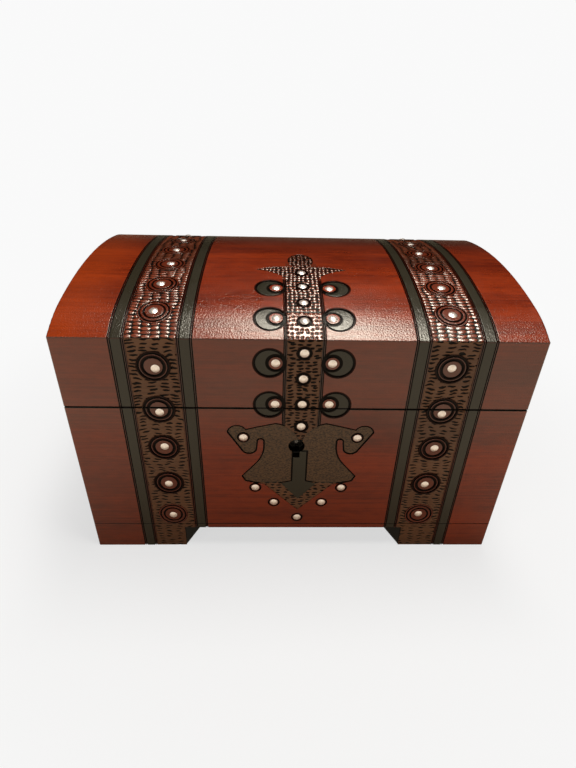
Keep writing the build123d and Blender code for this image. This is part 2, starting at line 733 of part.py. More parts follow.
def long_board(way):
    """A front or back board of the body, way -1 at the front and 1 at the back, lapped for the ends."""
    face = way * BACK
    inner = face - way * WALL
    shape = block(-HALF_WIDTH, HALF_WIDTH, min(face, inner), max(face, inner), PLINTH_HEIGHT, SEAM_HEIGHT)
    shape = eased(eased(shape, SEAM_HEIGHT, SEAM_CHAMFER), PLINTH_HEIGHT, JOINT_CHAMFER) & footprint()
    lap = face - way * CORNER_LAP
    for side in (-1, 1):
        x0, x1 = sorted((side * INNER_X, side * (HALF_WIDTH + OVERRUN)))
        shape -= block(x0, x1, min(lap, inner), max(lap, inner), 0.0, LID_BASE)
    return shape


# Pieces of the body


def front_wall(carving, painting):
    """The front board, with the lock's mortise, the keyhole, the carved work and the tack holes."""
    shape = long_board(-1)
    shape -= block(-INNER_X, INNER_X, LAP_FRONT, INNER_FRONT, PLINTH_HEIGHT, FLOOR_TOP)
    half = LOCK_WIDTH / 2
    shape -= block(LOCK_X - half, LOCK_X + half, LOCK_FRONT, INNER_FRONT, LOCK_BASE, SEAM_HEIGHT + OVERRUN)
    shape -= keyhole(KEYHOLE_RADIUS, KEYHOLE_SLOT, KEYHOLE_TAIL, FRONT - OVERRUN, INNER_FRONT)
    shape -= [place * screw_hole(CAP_SCREW_LENGTH) for place in cap_screws()]
    shape -= [tack_hole(plane) for plane in front_tack_planes(PLINTH_HEIGHT, SEAM_HEIGHT)]
    shape -= carving
    return shape - painting


def back_wall():
    """The back board, bevelled behind the hinge line and mortised for the hinges."""
    shape = long_board(1)
    shape -= block(-INNER_X, INNER_X, INNER_BACK, LAP_BACK, PLINTH_HEIGHT, FLOOR_TOP)
    shape -= back_bevel(SEAM_HEIGHT, -1)
    shape -= barrel_room()
    shape -= leaf_room(SEAM_HEIGHT - LEAF_THICKNESS, SEAM_HEIGHT + OVERRUN)
    return shape - [place * screw_hole(SCREW_LENGTH) for place in hinge_screws(False)]


def end_wall():
    """The right end board, which sits in the laps of the front and the back."""
    shape = block(INNER_X, HALF_WIDTH, LAP_FRONT, LAP_BACK, PLINTH_HEIGHT, SEAM_HEIGHT)
    shape = eased(eased(shape, SEAM_HEIGHT, SEAM_CHAMFER), PLINTH_HEIGHT, JOINT_CHAMFER)
    groove = INNER_X + CORNER_LAP
    return shape - block(INNER_X, groove, LAP_FRONT, LAP_BACK, PLINTH_HEIGHT, FLOOR_TOP)


def bottom_panel():
    """The thin bottom, let into the lower edges of all four boards."""
    x = INNER_X + CORNER_LAP - PANEL_CLEARANCE
    y = LAP_BACK - PANEL_CLEARANCE
    return block(-x, x, -y, y, PLINTH_HEIGHT, FLOOR_TOP)


def rail(length, foot):
    """A plinth rail along X, its outer face at y = 0, with mitred ends and a low cut between its feet."""
    half = length / 2
    short = half - RAIL_DEPTH
    plan = Polyline((-half, 0), (half, 0), (short, RAIL_DEPTH), (-short, RAIL_DEPTH), close=True)
    shape = extrude(make_face(Curve([plan])), amount=PLINTH_HEIGHT)
    top = shape.edges().filter_by(Axis.X).filter_by_position(Axis.Y, -JOINT_CHAMFER, JOINT_CHAMFER)
    shape = chamfer(top.sort_by(Axis.Z)[-1], JOINT_CHAMFER)
    wide = half - foot
    splay = tan(radians(FOOT_SPLAY))
    front = wide + OVERRUN * splay
    back = wide - (RAIL_DEPTH + OVERRUN) * splay
    depth = RAIL_DEPTH + OVERRUN
    gap = Polyline((-front, -OVERRUN), (front, -OVERRUN), (back, depth), (-back, depth), close=True)
    cut = extrude(make_face(Curve([gap])), amount=PLINTH_HEIGHT - BRIDGE_THICKNESS + OVERRUN)
    return shape - Pos(0, 0, -OVERRUN) * cut


def long_rail(turn):
    """A front or back plinth rail, in its place by a turn about the chest's middle."""
    return (Rot(0, 0, turn) * Pos(0, FRONT, 0) * rail(WIDTH, FRONT_FOOT)) & footprint()


# Pieces of the lid


def lid_rail(way):
    """The lid's front rail, way -1, or back rail, way 1, shaped to carry the curved board."""
    face = way * BACK
    inner = face - way * WALL
    section = under_dome(0.0, min(face, inner), max(face, inner)) - top_section()
    shape = eased(across(section, -HALF_WIDTH, HALF_WIDTH), LID_BASE, SEAM_CHAMFER)
    lap = face - way * CORNER_LAP
    for side in (-1, 1):
        x0, x1 = sorted((side * INNER_X, side * (HALF_WIDTH + OVERRUN)))
        shape -= block(x0, x1, min(lap, inner), max(lap, inner), 0.0, 2 * CREST)
    return shape & footprint()


def lid_front(carving, painting):
    """The lid's front rail, with its carved work, its tack holes and the strike's seat."""
    shape = lid_rail(-1)
    half, width = STRIKE_LENGTH / 2, STRIKE_WIDTH / 2
    top = LID_BASE + STRIKE_THICKNESS
    shape -= block(LOCK_X - half, LOCK_X + half, LOCK_MIDDLE - width, LOCK_MIDDLE + width, 0.0, top)
    shape -= [place * screw_hole(SCREW_LENGTH) for place in strike_screws()]
    shape -= [tack_hole(plane) for plane in front_tack_planes(SEAM_HEIGHT, SHOULDER_HEIGHT)]
    shape -= carving
    return shape - painting


def lid_back():
    """The lid's back rail, bevelled above the hinge line and mortised for the hinges."""
    shape = lid_rail(1) - back_bevel(LID_BASE, 1)
    shape -= barrel_room()
    shape -= leaf_room(0.0, LID_BASE + LEAF_THICKNESS)
    return shape - [place * screw_hole(SCREW_LENGTH) for place in hinge_screws(True)]


def lid_end():
    """The lid's right end panel, its arched top under the curved board."""
    shape = across(under_dome(TOP_THICKNESS, LAP_FRONT, LAP_BACK), INNER_X, HALF_WIDTH)
    return eased(shape, LID_BASE, SEAM_CHAMFER)


def on_dome(x, run, radius):
    """A round shape at a place of the dome, as it is seen from above."""
    place = Pos(x, dome_point(run)[0])
    return place * Ellipse(radius, radius * cos(dome_slope(run)))


def dome_ring(x, run, radius, cut):
    """A ring shaped groove at a place of the dome, as it is seen from above."""
    return on_dome(x, run, radius) - on_dome(x, run, radius - cut)


def dome_layout():
    """Everything that is cut to full depth into the dome, as it is seen from above."""
    long = 2 * DEPTH
    rings = band_places(dome_ring_runs())
    islands = [on_dome(x, run, ISLAND_RADIUS) for x, run in rings]
    strap = joined([Rectangle(STRAP_WIDTH, long)] + stripes_layout(strap_scores(), SCORE_WIDTH, long))
    end = dome_point(FLEUR_SHARE * DOME_LENGTH)[0]
    strap &= Pos(0, end - DEPTH / 2) * Rectangle(2 * PLATE_HALF_WIDTH, DEPTH)
    strap += Pos(0, end) * fleur_face()
    strap -= [on_dome(0.0, run, COLLAR_ISLAND) for run in dome_strap_runs()]
    ears = [(side * EAR_OFFSET, run) for side in (-1, 1) for run in dome_ear_runs()]
    grooves = [dome_ring(x, run, EAR_RADIUS, EAR_CUT) for x, run in ears]
    for x, run, radius, cut in round_grooves(rings, eye_places(dome_ear_runs()), dome_collars()):
        grooves.append(dome_ring(x, run, radius, cut))
    return joined([band_layout(long, islands), strap] + grooves)


def dome_paint_layout():
    """The shallow painted crescents of the dome, as they are seen from above."""
    moons = []
    for side in (-1, 1):
        for run in dome_ear_runs():
            moon = on_dome(side * EAR_OFFSET, run, EAR_RADIUS - EAR_CUT / 2)
            moons.append(moon - on_dome(side * EYE_OFFSET, run, EYE_RADIUS - EYE_CUT / 2))
    return joined(moons)


def cut_from_dome(layout, depth):
    """The solids that cut a layout into the dome to a depth."""
    prism = extrude(Pos(CARVING_OFFSET, 0, LID_BASE) * layout, amount=2 * CREST)
    return prism & dome_skin(-HALF_WIDTH, HALF_WIDTH, depth)


def lid_top():
    """The curved board of the lid, with its carved work and its tack holes."""
    shape = across(top_section(), -HALF_WIDTH, HALF_WIDTH)
    arcs = shape.edges().filter_by(GeomType.CIRCLE)
    slack = TOP_THICKNESS / 2
    top = [e for e in arcs if min(abs(e.radius - SHOULDER_RADIUS), abs(e.radius - CROWN_RADIUS)) < slack]
    shape = fillet(top, ARRIS_RADIUS) & footprint()
    shape -= [tack_hole(dome_plane(x, run)) for x, run in dome_tacks()]
    shape -= cut_from_dome(dome_layout(), CARVE_DEPTH)
    return shape - cut_from_dome(dome_paint_layout(), PAINT_DEPTH)


# Hinges


def leaf(x, way):
    """A hinge leaf at x: way -1 for the body's, with two knuckles, and 1 for the lid's, with one."""
    half = HINGE_LENGTH / 2
    face = SEAM_HEIGHT if way < 0 else LID_BASE
    low, high = sorted((face, face + way * LEAF_THICKNESS))
    plate = block(x - half, x + half, AXIS_Y - LEAF_WIDTH, AXIS_Y, low, high)
    third = HINGE_LENGTH / 3
    outer = [(x - half, x - half + third), (x + half - third, x + half)]
    inner = [(x - half + third, x + half - third)]
    own, other = (outer, inner) if way < 0 else (inner, outer)
    room = BARREL_RADIUS + BARREL_CLEARANCE
    shape = plate
    for x0, x1 in other:
        grow = KNUCKLE_GAP / 2
        shape -= barrel(x0 - grow, x1 + grow, room)
    for x0, x1 in own:
        x0 += KNUCKLE_GAP / 2 if x0 > x - half else 0.0
        x1 -= KNUCKLE_GAP / 2 if x1 < x + half else 0.0
        shape += barrel(x0, x1, BARREL_RADIUS)
    fit = PIN_TIGHT if way < 0 else PIN_RUNNING
    shape -= barrel(x - half - OVERRUN, x + half + OVERRUN, PIN_RADIUS + fit)
    holes = hinge_screws(way > 0)
    return shape - [place * screw_hole(SCREW_LENGTH) for place in holes]


def barrel(x0, x1, radius):
    """A round bar on the hinge axis between two places."""
    return Pos((x0 + x1) / 2, AXIS_Y, AXIS_Z) * Rot(0, 90, 0) * Cylinder(radius, x1 - x0)


# Lock


def lock_case():
    """The folded steel case in the front wall, with its face on the seam, its keyhole and its hook slot."""
    half = LOCK_WIDTH / 2
    shape = block(LOCK_X - half, LOCK_X + half, LOCK_FRONT, LOCK_BACK, LOCK_BASE, SEAM_HEIGHT)
    low, inner = LOCK_BASE + LOCK_SHEET, LOCK_FRONT + LOCK_SHEET
    shape -= block(LOCK_LEFT, LOCK_RIGHT, inner, LOCK_BACK + OVERRUN, low, LOCK_CEILING)
    reach = HOOK_WIDTH / 2 + NOSE_CLEARANCE
    swing = HOOK_THICKNESS / 2 + HOOK_SWING
    y0, y1 = LOCK_MIDDLE - swing, LOCK_MIDDLE + swing
    shape -= block(LOCK_X - reach, LOCK_X + reach, y0, y1, HOOK_BASE, CREST)
    return shape - keyhole(KEYHOLE_RADIUS, KEYHOLE_SLOT, KEYHOLE_TAIL, LOCK_FRONT - OVERRUN, LOCK_MIDDLE)


def lock_cap():
    """The cover plate of the lock, on the inner face of the front wall."""
    half = LOCK_WIDTH / 2 + CAP_FLANGE
    shape = block(LOCK_X - half, LOCK_X + half, LOCK_BACK, LOCK_BACK + CAP_THICKNESS, LOCK_BASE, SEAM_HEIGHT)
    shape = fillet(shape.edges().filter_by(Axis.Y), CAP_FLANGE / 2)
    return shape - [place * screw_hole(CAP_SCREW_LENGTH) for place in cap_screws()]


def lock_bolt():
    """The bolt, drawn back at rest: a slotted bar with a talon for the key and an arm with a nose."""
    y0, y1 = LOCK_MIDDLE - BOLT_THICKNESS / 2, LOCK_MIDDLE + BOLT_THICKNESS / 2
    shape = block(BOLT_LEFT, BOLT_RIGHT, y0, y1, BOLT_BASE, BOLT_TOP)
    shape += block(BOLT_LEFT, BOLT_LEFT + ARM_WIDTH, y0, y1, BOLT_TOP, NOSE_TOP)
    shape += block(BOLT_LEFT + ARM_WIDTH, NOSE_TIP, y0, y1, NOSE_BASE, NOSE_TOP)
    middle = LOCK_X - BOLT_THROW / 2
    half = TALON_WIDTH / 2
    shape -= block(middle - half, middle + half, y0, y1, BOLT_BASE, BOLT_BASE + TALON_HEIGHT)
    for x in STUD_PLACES:
        shape -= block(x - BOLT_THROW, x, y0, y1, STUD_Z - STUD_ROOM, STUD_Z + STUD_ROOM)
        for end in (x - BOLT_THROW, x):
            shape -= Pos(end, LOCK_MIDDLE, STUD_Z) * Rot(90, 0, 0) * Cylinder(STUD_ROOM, 2 * BOLT_THICKNESS)
    return shape


def lock_pin(x, z, radius, y0):
    """A round pin that stands forwards from the lock's cap to y0."""
    length = LOCK_BACK - y0
    return Pos(x, y0 + length / 2, z) * Rot(90, 0, 0) * Cylinder(radius, length)


# Bends of the lock's spring, in shares of the room right of the hook and of the room above the bolt
SPRING_ROOT_SHARES = (0.95, 0.6)
SPRING_BEND_SHARES = ((0.75, 0.0), (0.95, 0.12))


def lock_spring():
    """The bent leaf that stands on the case's side and bears lightly on the bolt."""
    thick = SPRING_THICKNESS
    low = BOLT_TOP + BOLT_CLEARANCE
    wide = LOCK_RIGHT - (LOCK_X + HOOK_WIDTH / 2 + HOOK_SWING)
    high = LOCK_CEILING - low - thick
    top, root = [low + share * high for share in SPRING_ROOT_SHARES]
    bends = [(LOCK_RIGHT - a * wide, low + b * high) for a, b in SPRING_BEND_SHARES]
    outline = [(LOCK_RIGHT, top), (LOCK_RIGHT, root)] + bends
    outline += [(x, z + thick) for x, z in reversed(bends)]
    outline += [(LOCK_RIGHT - thick, root + thick), (LOCK_RIGHT - thick, top)]
    plane = Plane(origin=(0, LOCK_MIDDLE - SPRING_WIDTH / 2, 0), x_dir=(1, 0, 0), z_dir=(0, -1, 0))
    face = make_face(plane * Curve([Polyline(*outline, close=True)]))
    return extrude(face, amount=SPRING_WIDTH, dir=(0, 1, 0))


def strike_plate():
    """The brass strike in the lid's front rail, pierced for the hook and its two screws."""
    half, width = STRIKE_LENGTH / 2, STRIKE_WIDTH / 2
    top = LID_BASE + STRIKE_THICKNESS
    shape = block(LOCK_X - half, LOCK_X + half, LOCK_MIDDLE - width, LOCK_MIDDLE + width, LID_BASE, top)
    reach, slack = HOOK_WIDTH / 2, HOOK_THICKNESS / 2
    shape -= block(LOCK_X - reach, LOCK_X + reach, LOCK_MIDDLE - slack, LOCK_MIDDLE + slack, LID_BASE, top)
    return shape - [place * screw_hole(SCREW_LENGTH) for place in strike_screws()]


def strike_hook():
    """The notched tongue that hangs from the strike into the lock, where the bolt's nose holds it."""
    half, slack = HOOK_WIDTH / 2, HOOK_THICKNESS / 2
    y0, y1 = LOCK_MIDDLE - slack, LOCK_MIDDLE + slack
    shape = block(LOCK_X - half, LOCK_X + half, y0, y1, HOOK_BASE, LID_BASE + STRIKE_THICKNESS)
    notch = LOCK_X + half - HOOK_STEM
    low, high = NOSE_BASE - NOSE_CLEARANCE, NOSE_TOP + NOSE_CLEARANCE
    return shape - block(LOCK_X - half, notch, y0, y1, low, high)


def gathered(shapes):
    """Several separate solids as one node."""
    return Compound(children=list(shapes))


def pieces():
    """Every piece of the chest by name."""
    carving = cut_from_front(front_layout(), CARVE_DEPTH)
    painting = cut_from_front(front_paint_layout(), PAINT_DEPTH)
    end, lid_side = end_wall(), lid_end()
    stud_front = LOCK_FRONT + LOCK_SHEET
    side_rail = (Rot(0, 0, 90) * Pos(0, -HALF_WIDTH, 0) * rail(DEPTH, SIDE_FOOT)) & footprint()
    made = {
        "front_wall": front_wall(carving, painting),
        "back_wall": back_wall(),
        "right_wall": end,
        "left_wall": mirrored(end),
        "bottom_panel": bottom_panel(),
        "plinth_front": long_rail(0) - carving,
        "plinth_back": long_rail(180),
        "plinth_right": side_rail,
        "plinth_left": mirrored(side_rail),
        "lid_front": lid_front(carving, painting),
        "lid_back": lid_back(),
        "lid_right": lid_side,
        "lid_left": mirrored(lid_side),
        "lid_top": lid_top(),
        "body_tacks": gathered(tack(plane) for plane in front_tack_planes(0.0, SEAM_HEIGHT)),
        "lid_front_tacks": gathered(tack(plane) for plane in front_tack_planes(SEAM_HEIGHT, CREST)),
        "lid_top_tacks": gathered(tack(dome_plane(x, run)) for x, run in dome_tacks()),
        "lock_case": lock_case(),
        "lock_cap": lock_cap(),
        "lock_bolt": lock_bolt(),
        "lock_spring": lock_spring(),
        "lock_key_post": lock_pin(LOCK_X, KEYHOLE_Z, POST_RADIUS, LOCK_FRONT),
        "lock_guide_studs": gathered(lock_pin(x, STUD_Z, STUD_RADIUS, stud_front) for x in STUD_PLACES),
        "lock_cap_screws": gathered(place * screw(CAP_SCREW_LENGTH) for place in cap_screws()),
        "strike_plate": strike_plate(),
        "strike_hook": strike_hook(),
        "strike_screws": gathered(place * screw(SCREW_LENGTH) for place in strike_screws()),
        "hinge_screws_body": gathered(place * screw(SCREW_LENGTH) for place in hinge_screws(False)),
        "hinge_screws_lid": gathered(place * screw(SCREW_LENGTH) for place in hinge_screws(True)),
    }
    for name, x in (("left", -HINGE_OFFSET), ("right", HINGE_OFFSET)):
        half = HINGE_LENGTH / 2
        made[f"hinge_{name}_body_leaf"] = leaf(x, -1)
        made[f"hinge_{name}_lid_leaf"] = leaf(x, 1)
        made[f"hinge_{name}_pin"] = barrel(x - half, x + half, PIN_RADIUS)
    return made


os.makedirs("parts", exist_ok=True)
for name, shape in pieces().items():
    export_step(shape, f"parts/{name}.step")
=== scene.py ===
import bpy
from math import cos, radians, sin
from mathutils import Matrix, Vector


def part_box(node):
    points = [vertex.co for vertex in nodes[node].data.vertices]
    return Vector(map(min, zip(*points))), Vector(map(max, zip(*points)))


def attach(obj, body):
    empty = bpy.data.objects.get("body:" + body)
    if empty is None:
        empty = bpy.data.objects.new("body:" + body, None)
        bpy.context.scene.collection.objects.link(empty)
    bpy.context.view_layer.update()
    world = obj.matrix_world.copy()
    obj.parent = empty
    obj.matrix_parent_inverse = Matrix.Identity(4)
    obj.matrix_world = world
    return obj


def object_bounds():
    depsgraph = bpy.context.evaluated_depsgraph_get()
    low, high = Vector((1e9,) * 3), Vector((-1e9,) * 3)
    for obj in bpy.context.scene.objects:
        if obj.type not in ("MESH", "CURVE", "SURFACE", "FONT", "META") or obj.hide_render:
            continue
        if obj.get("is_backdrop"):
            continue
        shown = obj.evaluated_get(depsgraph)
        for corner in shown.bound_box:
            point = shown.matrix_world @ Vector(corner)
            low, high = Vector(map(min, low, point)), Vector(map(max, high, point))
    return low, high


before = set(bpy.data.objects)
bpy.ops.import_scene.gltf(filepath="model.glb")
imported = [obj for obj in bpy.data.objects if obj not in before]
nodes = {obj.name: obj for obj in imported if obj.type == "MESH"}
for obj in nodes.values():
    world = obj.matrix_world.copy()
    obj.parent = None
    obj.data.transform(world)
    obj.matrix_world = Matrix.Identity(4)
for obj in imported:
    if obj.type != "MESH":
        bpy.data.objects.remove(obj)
bounds_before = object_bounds()

# Stained boards
# The body and the lid are made of linden boards that are stained a mahogany red and varnished.
# The carved grooves hold a nearly black stain, and the shallow painted parts an olive one.
# Inside, the boards are left bare.

MM = 0.001


def srgb(red, green, blue):
    """A colour from its screen values, as the node trees want it."""
    def linear(value):
        share = value / 255
        return share / 12.92 if share <= 0.04045 else ((share + 0.055) / 1.055) ** 2.4
    return (linear(red), linear(green), linear(blue), 1.0)


def feed(tree, value, socket):
    """Gives a node's input a number, a colour or what another node works out."""
    if isinstance(value, Term):
        tree.links.new(value.socket, socket)
    else:
        socket.default_value = value


class Term:
    """A value in a node tree that can be reckoned with like a number."""

    def __init__(self, tree, socket):
        self.tree = tree
        self.socket = socket

    def by(self, kind, *others):
        return reckon(self.tree, kind, self, *others)

    def __add__(self, other):
        return self.by("ADD", other)

    def __sub__(self, other):
        return self.by("SUBTRACT", other)

    def __rsub__(self, other):
        return reckon(self.tree, "SUBTRACT", other, self)

    def __mul__(self, other):
        return self.by("MULTIPLY", other)

    def __truediv__(self, other):
        return self.by("DIVIDE", other)

    def size(self):
        return self.by("ABSOLUTE")

    def over(self, other):
        return self.by("GREATER_THAN", other)

    def under(self, other):
        return self.by("LESS_THAN", other)

    def lowest(self, other):
        return self.by("MINIMUM", other)

    def highest(self, other):
        return self.by("MAXIMUM", other)


def reckon(tree, kind, *values):
    """One step of arithmetic in a node tree."""
    node = tree.nodes.new("ShaderNodeMath")
    node.operation = kind
    for socket, value in zip(node.inputs, values):
        feed(tree, value, socket)
    return Term(tree, node.outputs[0])


def vector(tree, x, y, z):
    """A vector from its three parts."""
    node = tree.nodes.new("ShaderNodeCombineXYZ")
    for socket, value in zip(node.inputs, (x, y, z)):
        feed(tree, value, socket)
    return Term(tree, node.outputs[0])


def parts_of(tree, value):
    """The three parts of a vector."""
    node = tree.nodes.new("ShaderNodeSeparateXYZ")
    feed(tree, value, node.inputs[0])
    return [Term(tree, output) for output in node.outputs]


def noise(tree, place, scale, detail=2.0, rough=0.5):
    """Soft noise between 0 and 1 at a place."""
    node = tree.nodes.new("ShaderNodeTexNoise")
    feed(tree, place, node.inputs["Vector"])
    node.inputs["Scale"].default_value = scale
    node.inputs["Detail"].default_value = detail
    node.inputs["Roughness"].default_value = rough
    return Term(tree, node.outputs[0])


def eased(tree, value, low, high, first=0.0, last=1.0):
    """A value that turns smoothly from first to last between two bounds."""
    node = tree.nodes.new("ShaderNodeMapRange")
    node.interpolation_type = "SMOOTHSTEP"
    for socket, given in zip(node.inputs, (value, low, high, first, last)):
        feed(tree, given, socket)
    return Term(tree, node.outputs[0])


def blend(tree, share, first, second):
    """A colour between two others."""
    node = tree.nodes.new("ShaderNodeMix")
    node.data_type = "RGBA"
    shares, firsts, seconds = (node.inputs[place] for place in (0, 6, 7))
    feed(tree, share, shares)
    feed(tree, first, firsts)
    feed(tree, second, seconds)
    return Term(tree, node.outputs[2])


def new_material(name):
    """A material with only its shader and its output, and the place on the object in millimetres."""
    material = bpy.data.materials.new(name)
    material.use_nodes = True
    tree = material.node_tree
    shader = tree.nodes["Principled BSDF"]
    coordinates = tree.nodes.new("ShaderNodeTexCoord")
    places = [part * (1 / MM) for part in parts_of(tree, Term(tree, coordinates.outputs["Object"]))]
    return material, tree, shader, places


def bump(tree, height, distance, strength=1.0, edge=0.0):
    """A surface direction from a height, its full swing given in metres, with edges eased by a radius."""
    node = tree.nodes.new("ShaderNodeBump")
    if edge:
        easing = tree.nodes.new("ShaderNodeBevel")
        easing.samples = 6
        easing.inputs["Radius"].default_value = edge
        tree.links.new(easing.outputs[0], node.inputs["Normal"])
    feed(tree, height, node.inputs["Height"])
    node.inputs["Distance"].default_value = distance
    node.inputs["Strength"].default_value = strength
    return Term(tree, node.outputs[0])


def finish_with(tree, shader, **values):
    """Sets the shader's inputs by their names, with spaces for underscores."""
    for name, value in values.items():
        feed(tree, value, shader.inputs[name.replace("_", " ")])


# Where the boards meet and end, in millimetres
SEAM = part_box("front_wall")[1][2] / MM + 0.15
PLINTH_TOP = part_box("plinth_front")[1][2] / MM
SEAM_SPREAD, PLINTH_SPREAD, PLINTH_SHARE = 0.6, 0.25, 0.7
RIM_X, RIM_Y, RIM_LAND = 109.3, 69.3, 0.3
ARRIS_Z, ARRIS_HALF, ARRIS_SHARE = 132.7, 0.35, 0.6
FRONT_FACE, HALF_DEPTH, HALF_INSIDE, TOP_THICKNESS = -70.0, 60.2, 100.2, 5.8
FOOT_GAP, FOOT_GAP_SIDE, FOOT_GAP_TOP = 61.2, 34.2, 14.7

# The lid's curved surface: a tighter shoulder in front and behind, and a flat arc between them
SHOULDER_RADIUS, SHOULDER_Y, SHOULDER_Z = 66.83, 37.6, 74.55
CROWN_RADIUS, CROWN_Z, CROWN_REACH = 263.9, -118.9, 50.35
SHOULDER_RUN, DOME_RUN, CROWN = 20.99, 143.3, radians(11.0)

# The carving: bands on both sides, a strap, ears and collars in the middle, and the lock plate
MIDDLE = 1.4
BAND = 67.3
STRIPE_NEAR, STRIPE_FAR = 12.55, 17.05
BORDER_NEAR, BORDER_FAR = 11.2, 18.4
STRAP_HALF, STRAP_LINE_NEAR, STRAP_LINE_FAR = 8.0, 7.6, 9.2
STRAP_FROM_Z, STRAP_TO_Y, WING_Y = 76.0, -8.0, -28.0
KEYHOLE_X, KEYHOLE_Z, KEYHOLE_ROOM = -0.4, 71.0, 7.0
PLATE_LOW, PLATE_HIGH, STEM_HALF, STEM_TOP = 48.9, 88.0, 4.1, 70.6
EAR_X, EAR_RADIUS, EAR_SPREAD = 15.5, 7.2, 0.6
EYE_X, EYE_RADIUS, EYE_SPREAD = 12.75, 4.0, 0.7
COLLAR_RADIUS, COLLAR_SPREAD = 3.0, 0.8
OUTER_RADIUS, OUTER_SPREAD, INNER_RADIUS, INNER_SPREAD = 7.1, 0.62, 5.2, 0.66
FRONT_EARS, FRONT_EYES = (98.3, 121.0), (98.6, 121.0)
FRONT_COLLARS = (85.5, 98.6, 112.8, 126.2)
FRONT_RING_ROWS = (24.96, 48.04, 72.06, 95.1, 118.69)
DOME_EARS, DOME_COLLARS = (12.2, 36.0), (10.6, 23.6, 37.8, 52.2)

# How deep the uncut face reaches, a painted pocket's walls and floor, and the cuts
UNCUT, WALL_FROM, WALL_TO = 0.15, 0.06, 0.2
POCKET_FROM, POCKET_TO = 0.18, 0.4
CUT_FROM, CUT_TO = 0.3, 1.2


def dome_depth(y, z):
    """How far a place lies under the lid's curved surface."""
    side = y.size() - SHOULDER_Y
    rise = z - SHOULDER_Z
    shoulder = SHOULDER_RADIUS - (side * side + rise * rise).by("SQRT")
    lift = z - CROWN_Z
    crown = CROWN_RADIUS - (y * y + lift * lift).by("SQRT")
    outer = y.size().over(CROWN_REACH)
    return crown + (shoulder - crown) * outer


def dome_spot(run):
    """Where a run of surface over the front shoulder ends, for runs that stay in front of the crest."""
    if run < SHOULDER_RUN:
        angle = CROWN + (SHOULDER_RUN - run) / SHOULDER_RADIUS
        return -SHOULDER_Y - SHOULDER_RADIUS * sin(angle), SHOULDER_Z + SHOULDER_RADIUS * cos(angle)
    angle = CROWN - (run - SHOULDER_RUN) / CROWN_RADIUS
    return -CROWN_RADIUS * sin(angle), CROWN_Z + CROWN_RADIUS * cos(angle)


# Waves of the grain to the millimetre, along it and across it
BROAD_WAVES, FINE_WAVES, PORE_WAVES = (0.006, 0.05), (0.02, 0.9), (0.25, 3.2)


def grain(tree, x, y, z, along):
    """Three looks of the grain: broad bands, fine streaks and short pores."""
    long, cross = (x, y) if along == "x" else (y, x)

    def waves(rates, detail, rough=0.5):
        lengthwise, crosswise = rates
        place = vector(tree, long * lengthwise, cross * crosswise, z * crosswise)
        return noise(tree, place, 1.0, detail, rough)

    return waves(BROAD_WAVES, 3.0), waves(FINE_WAVES, 4.0, 0.6), waves(PORE_WAVES, 2.0)


STAIN_DEEP = srgb(92, 22, 5)
STAIN_WARM = srgb(154, 52, 12)
# A more amber tone toward the lid's left end.
LEFT_END_AMBER = srgb(196, 78, 20)
# The pores' colour, also the painted shade toward the dome's back.
STAIN_PORE_AND_SHADE = srgb(66, 18, 8)
# Browner colour of the painted reflection on the front.
PAINTED_REFLECTION_UMBER = srgb(74, 34, 14)
# Black of the grooves' stain, also used for painted shade along the seam, between the feet and in the
# keyhole.
GROOVE_BLACK_AND_SHADE = srgb(12, 6, 5)
STRIPE_OLIVE = srgb(47, 43, 33)
POCKET_OLIVE = srgb(40, 37, 26)
PLATE_BROWN = srgb(104, 74, 50)
PLATE_DARK = srgb(40, 26, 16)
LAND_BROWN = srgb(82, 36, 20)
BARE_PALE = srgb(214, 182, 138)
BARE_DARK = srgb(178, 138, 92)

# How strongly each stain and the painted reflection cover the wood, and what the stain and the veil do to
# the varnish
LAND_SHARE, BORDER_SHARE, RING_SHARE, PAINTED_REFLECTION_SHARE = 0.6, 0.7, 0.9, 0.4
CUT_DULLNESS, VEIL_SHEEN, RING_SOFTNESS = 0.85, 0.5, 0.15


def stained(tree, x, y, z, along):
    """The stain's colour, mottled and streaked along the grain, and the pores themselves."""
    broad, fine, pore = grain(tree, x, y, z, along)
    mottle = noise(tree, vector(tree, x * 0.12, y * 0.4, z * 0.4), 1.0, 3.0)
    warmth = eased(tree, broad * 0.45 + fine * 0.35 + mottle * 0.2, 0.32, 0.68)
    colour = blend(tree, warmth, STAIN_DEEP, STAIN_WARM)
    return blend(tree, eased(tree, pore, 0.6, 0.72, 0.0, 0.55), colour, STAIN_PORE_AND_SHADE), pore


def bare_colour(tree, x, y, z, along):
    """The colour of linden that has no stain."""
    broad, fine, pore = grain(tree, x, y, z, along)
    return blend(tree, eased(tree, broad * 0.5 + fine * 0.5, 0.3, 0.7), BARE_PALE, BARE_DARK)


def face_tone_and_painted_light(tree, x, y, z, face, colour):
    """The colour's change over a face: painted shade toward the dome's back, more amber toward the lid's
    left end, and on the front a browner painted reflection over the upper and left part, with how strongly
    the front has it.
    """
    if face == "dome":
        # Painted shade: the dome darkens toward its back, which turns away from the light.
        painted_back_shade = eased(tree, y, 2.0, 46.0, 0.0, 0.85)
        # The lid turns more amber toward its left end.
        left_end = eased(tree, x, -105.0, -76.0, 0.24, 0.0)
        colour = blend(tree, painted_back_shade, colour, STAIN_PORE_AND_SHADE)
        return blend(tree, left_end, colour, LEFT_END_AMBER), None
    # Painted reflection: the front's upper and left part turn browner where the varnish would mirror the
    # floor; there the varnish also gets more sheen.
    upper = eased(tree, z, 60.0, 100.0)
    left = eased(tree, x, -88.0, -60.0, 0.5, 0.0)
    painted_reflection_and_sheen = upper.highest(left)
    return blend(tree, painted_reflection_and_sheen * PAINTED_REFLECTION_SHARE, colour, PAINTED_REFLECTION_UMBER), painted_reflection_and_sheen


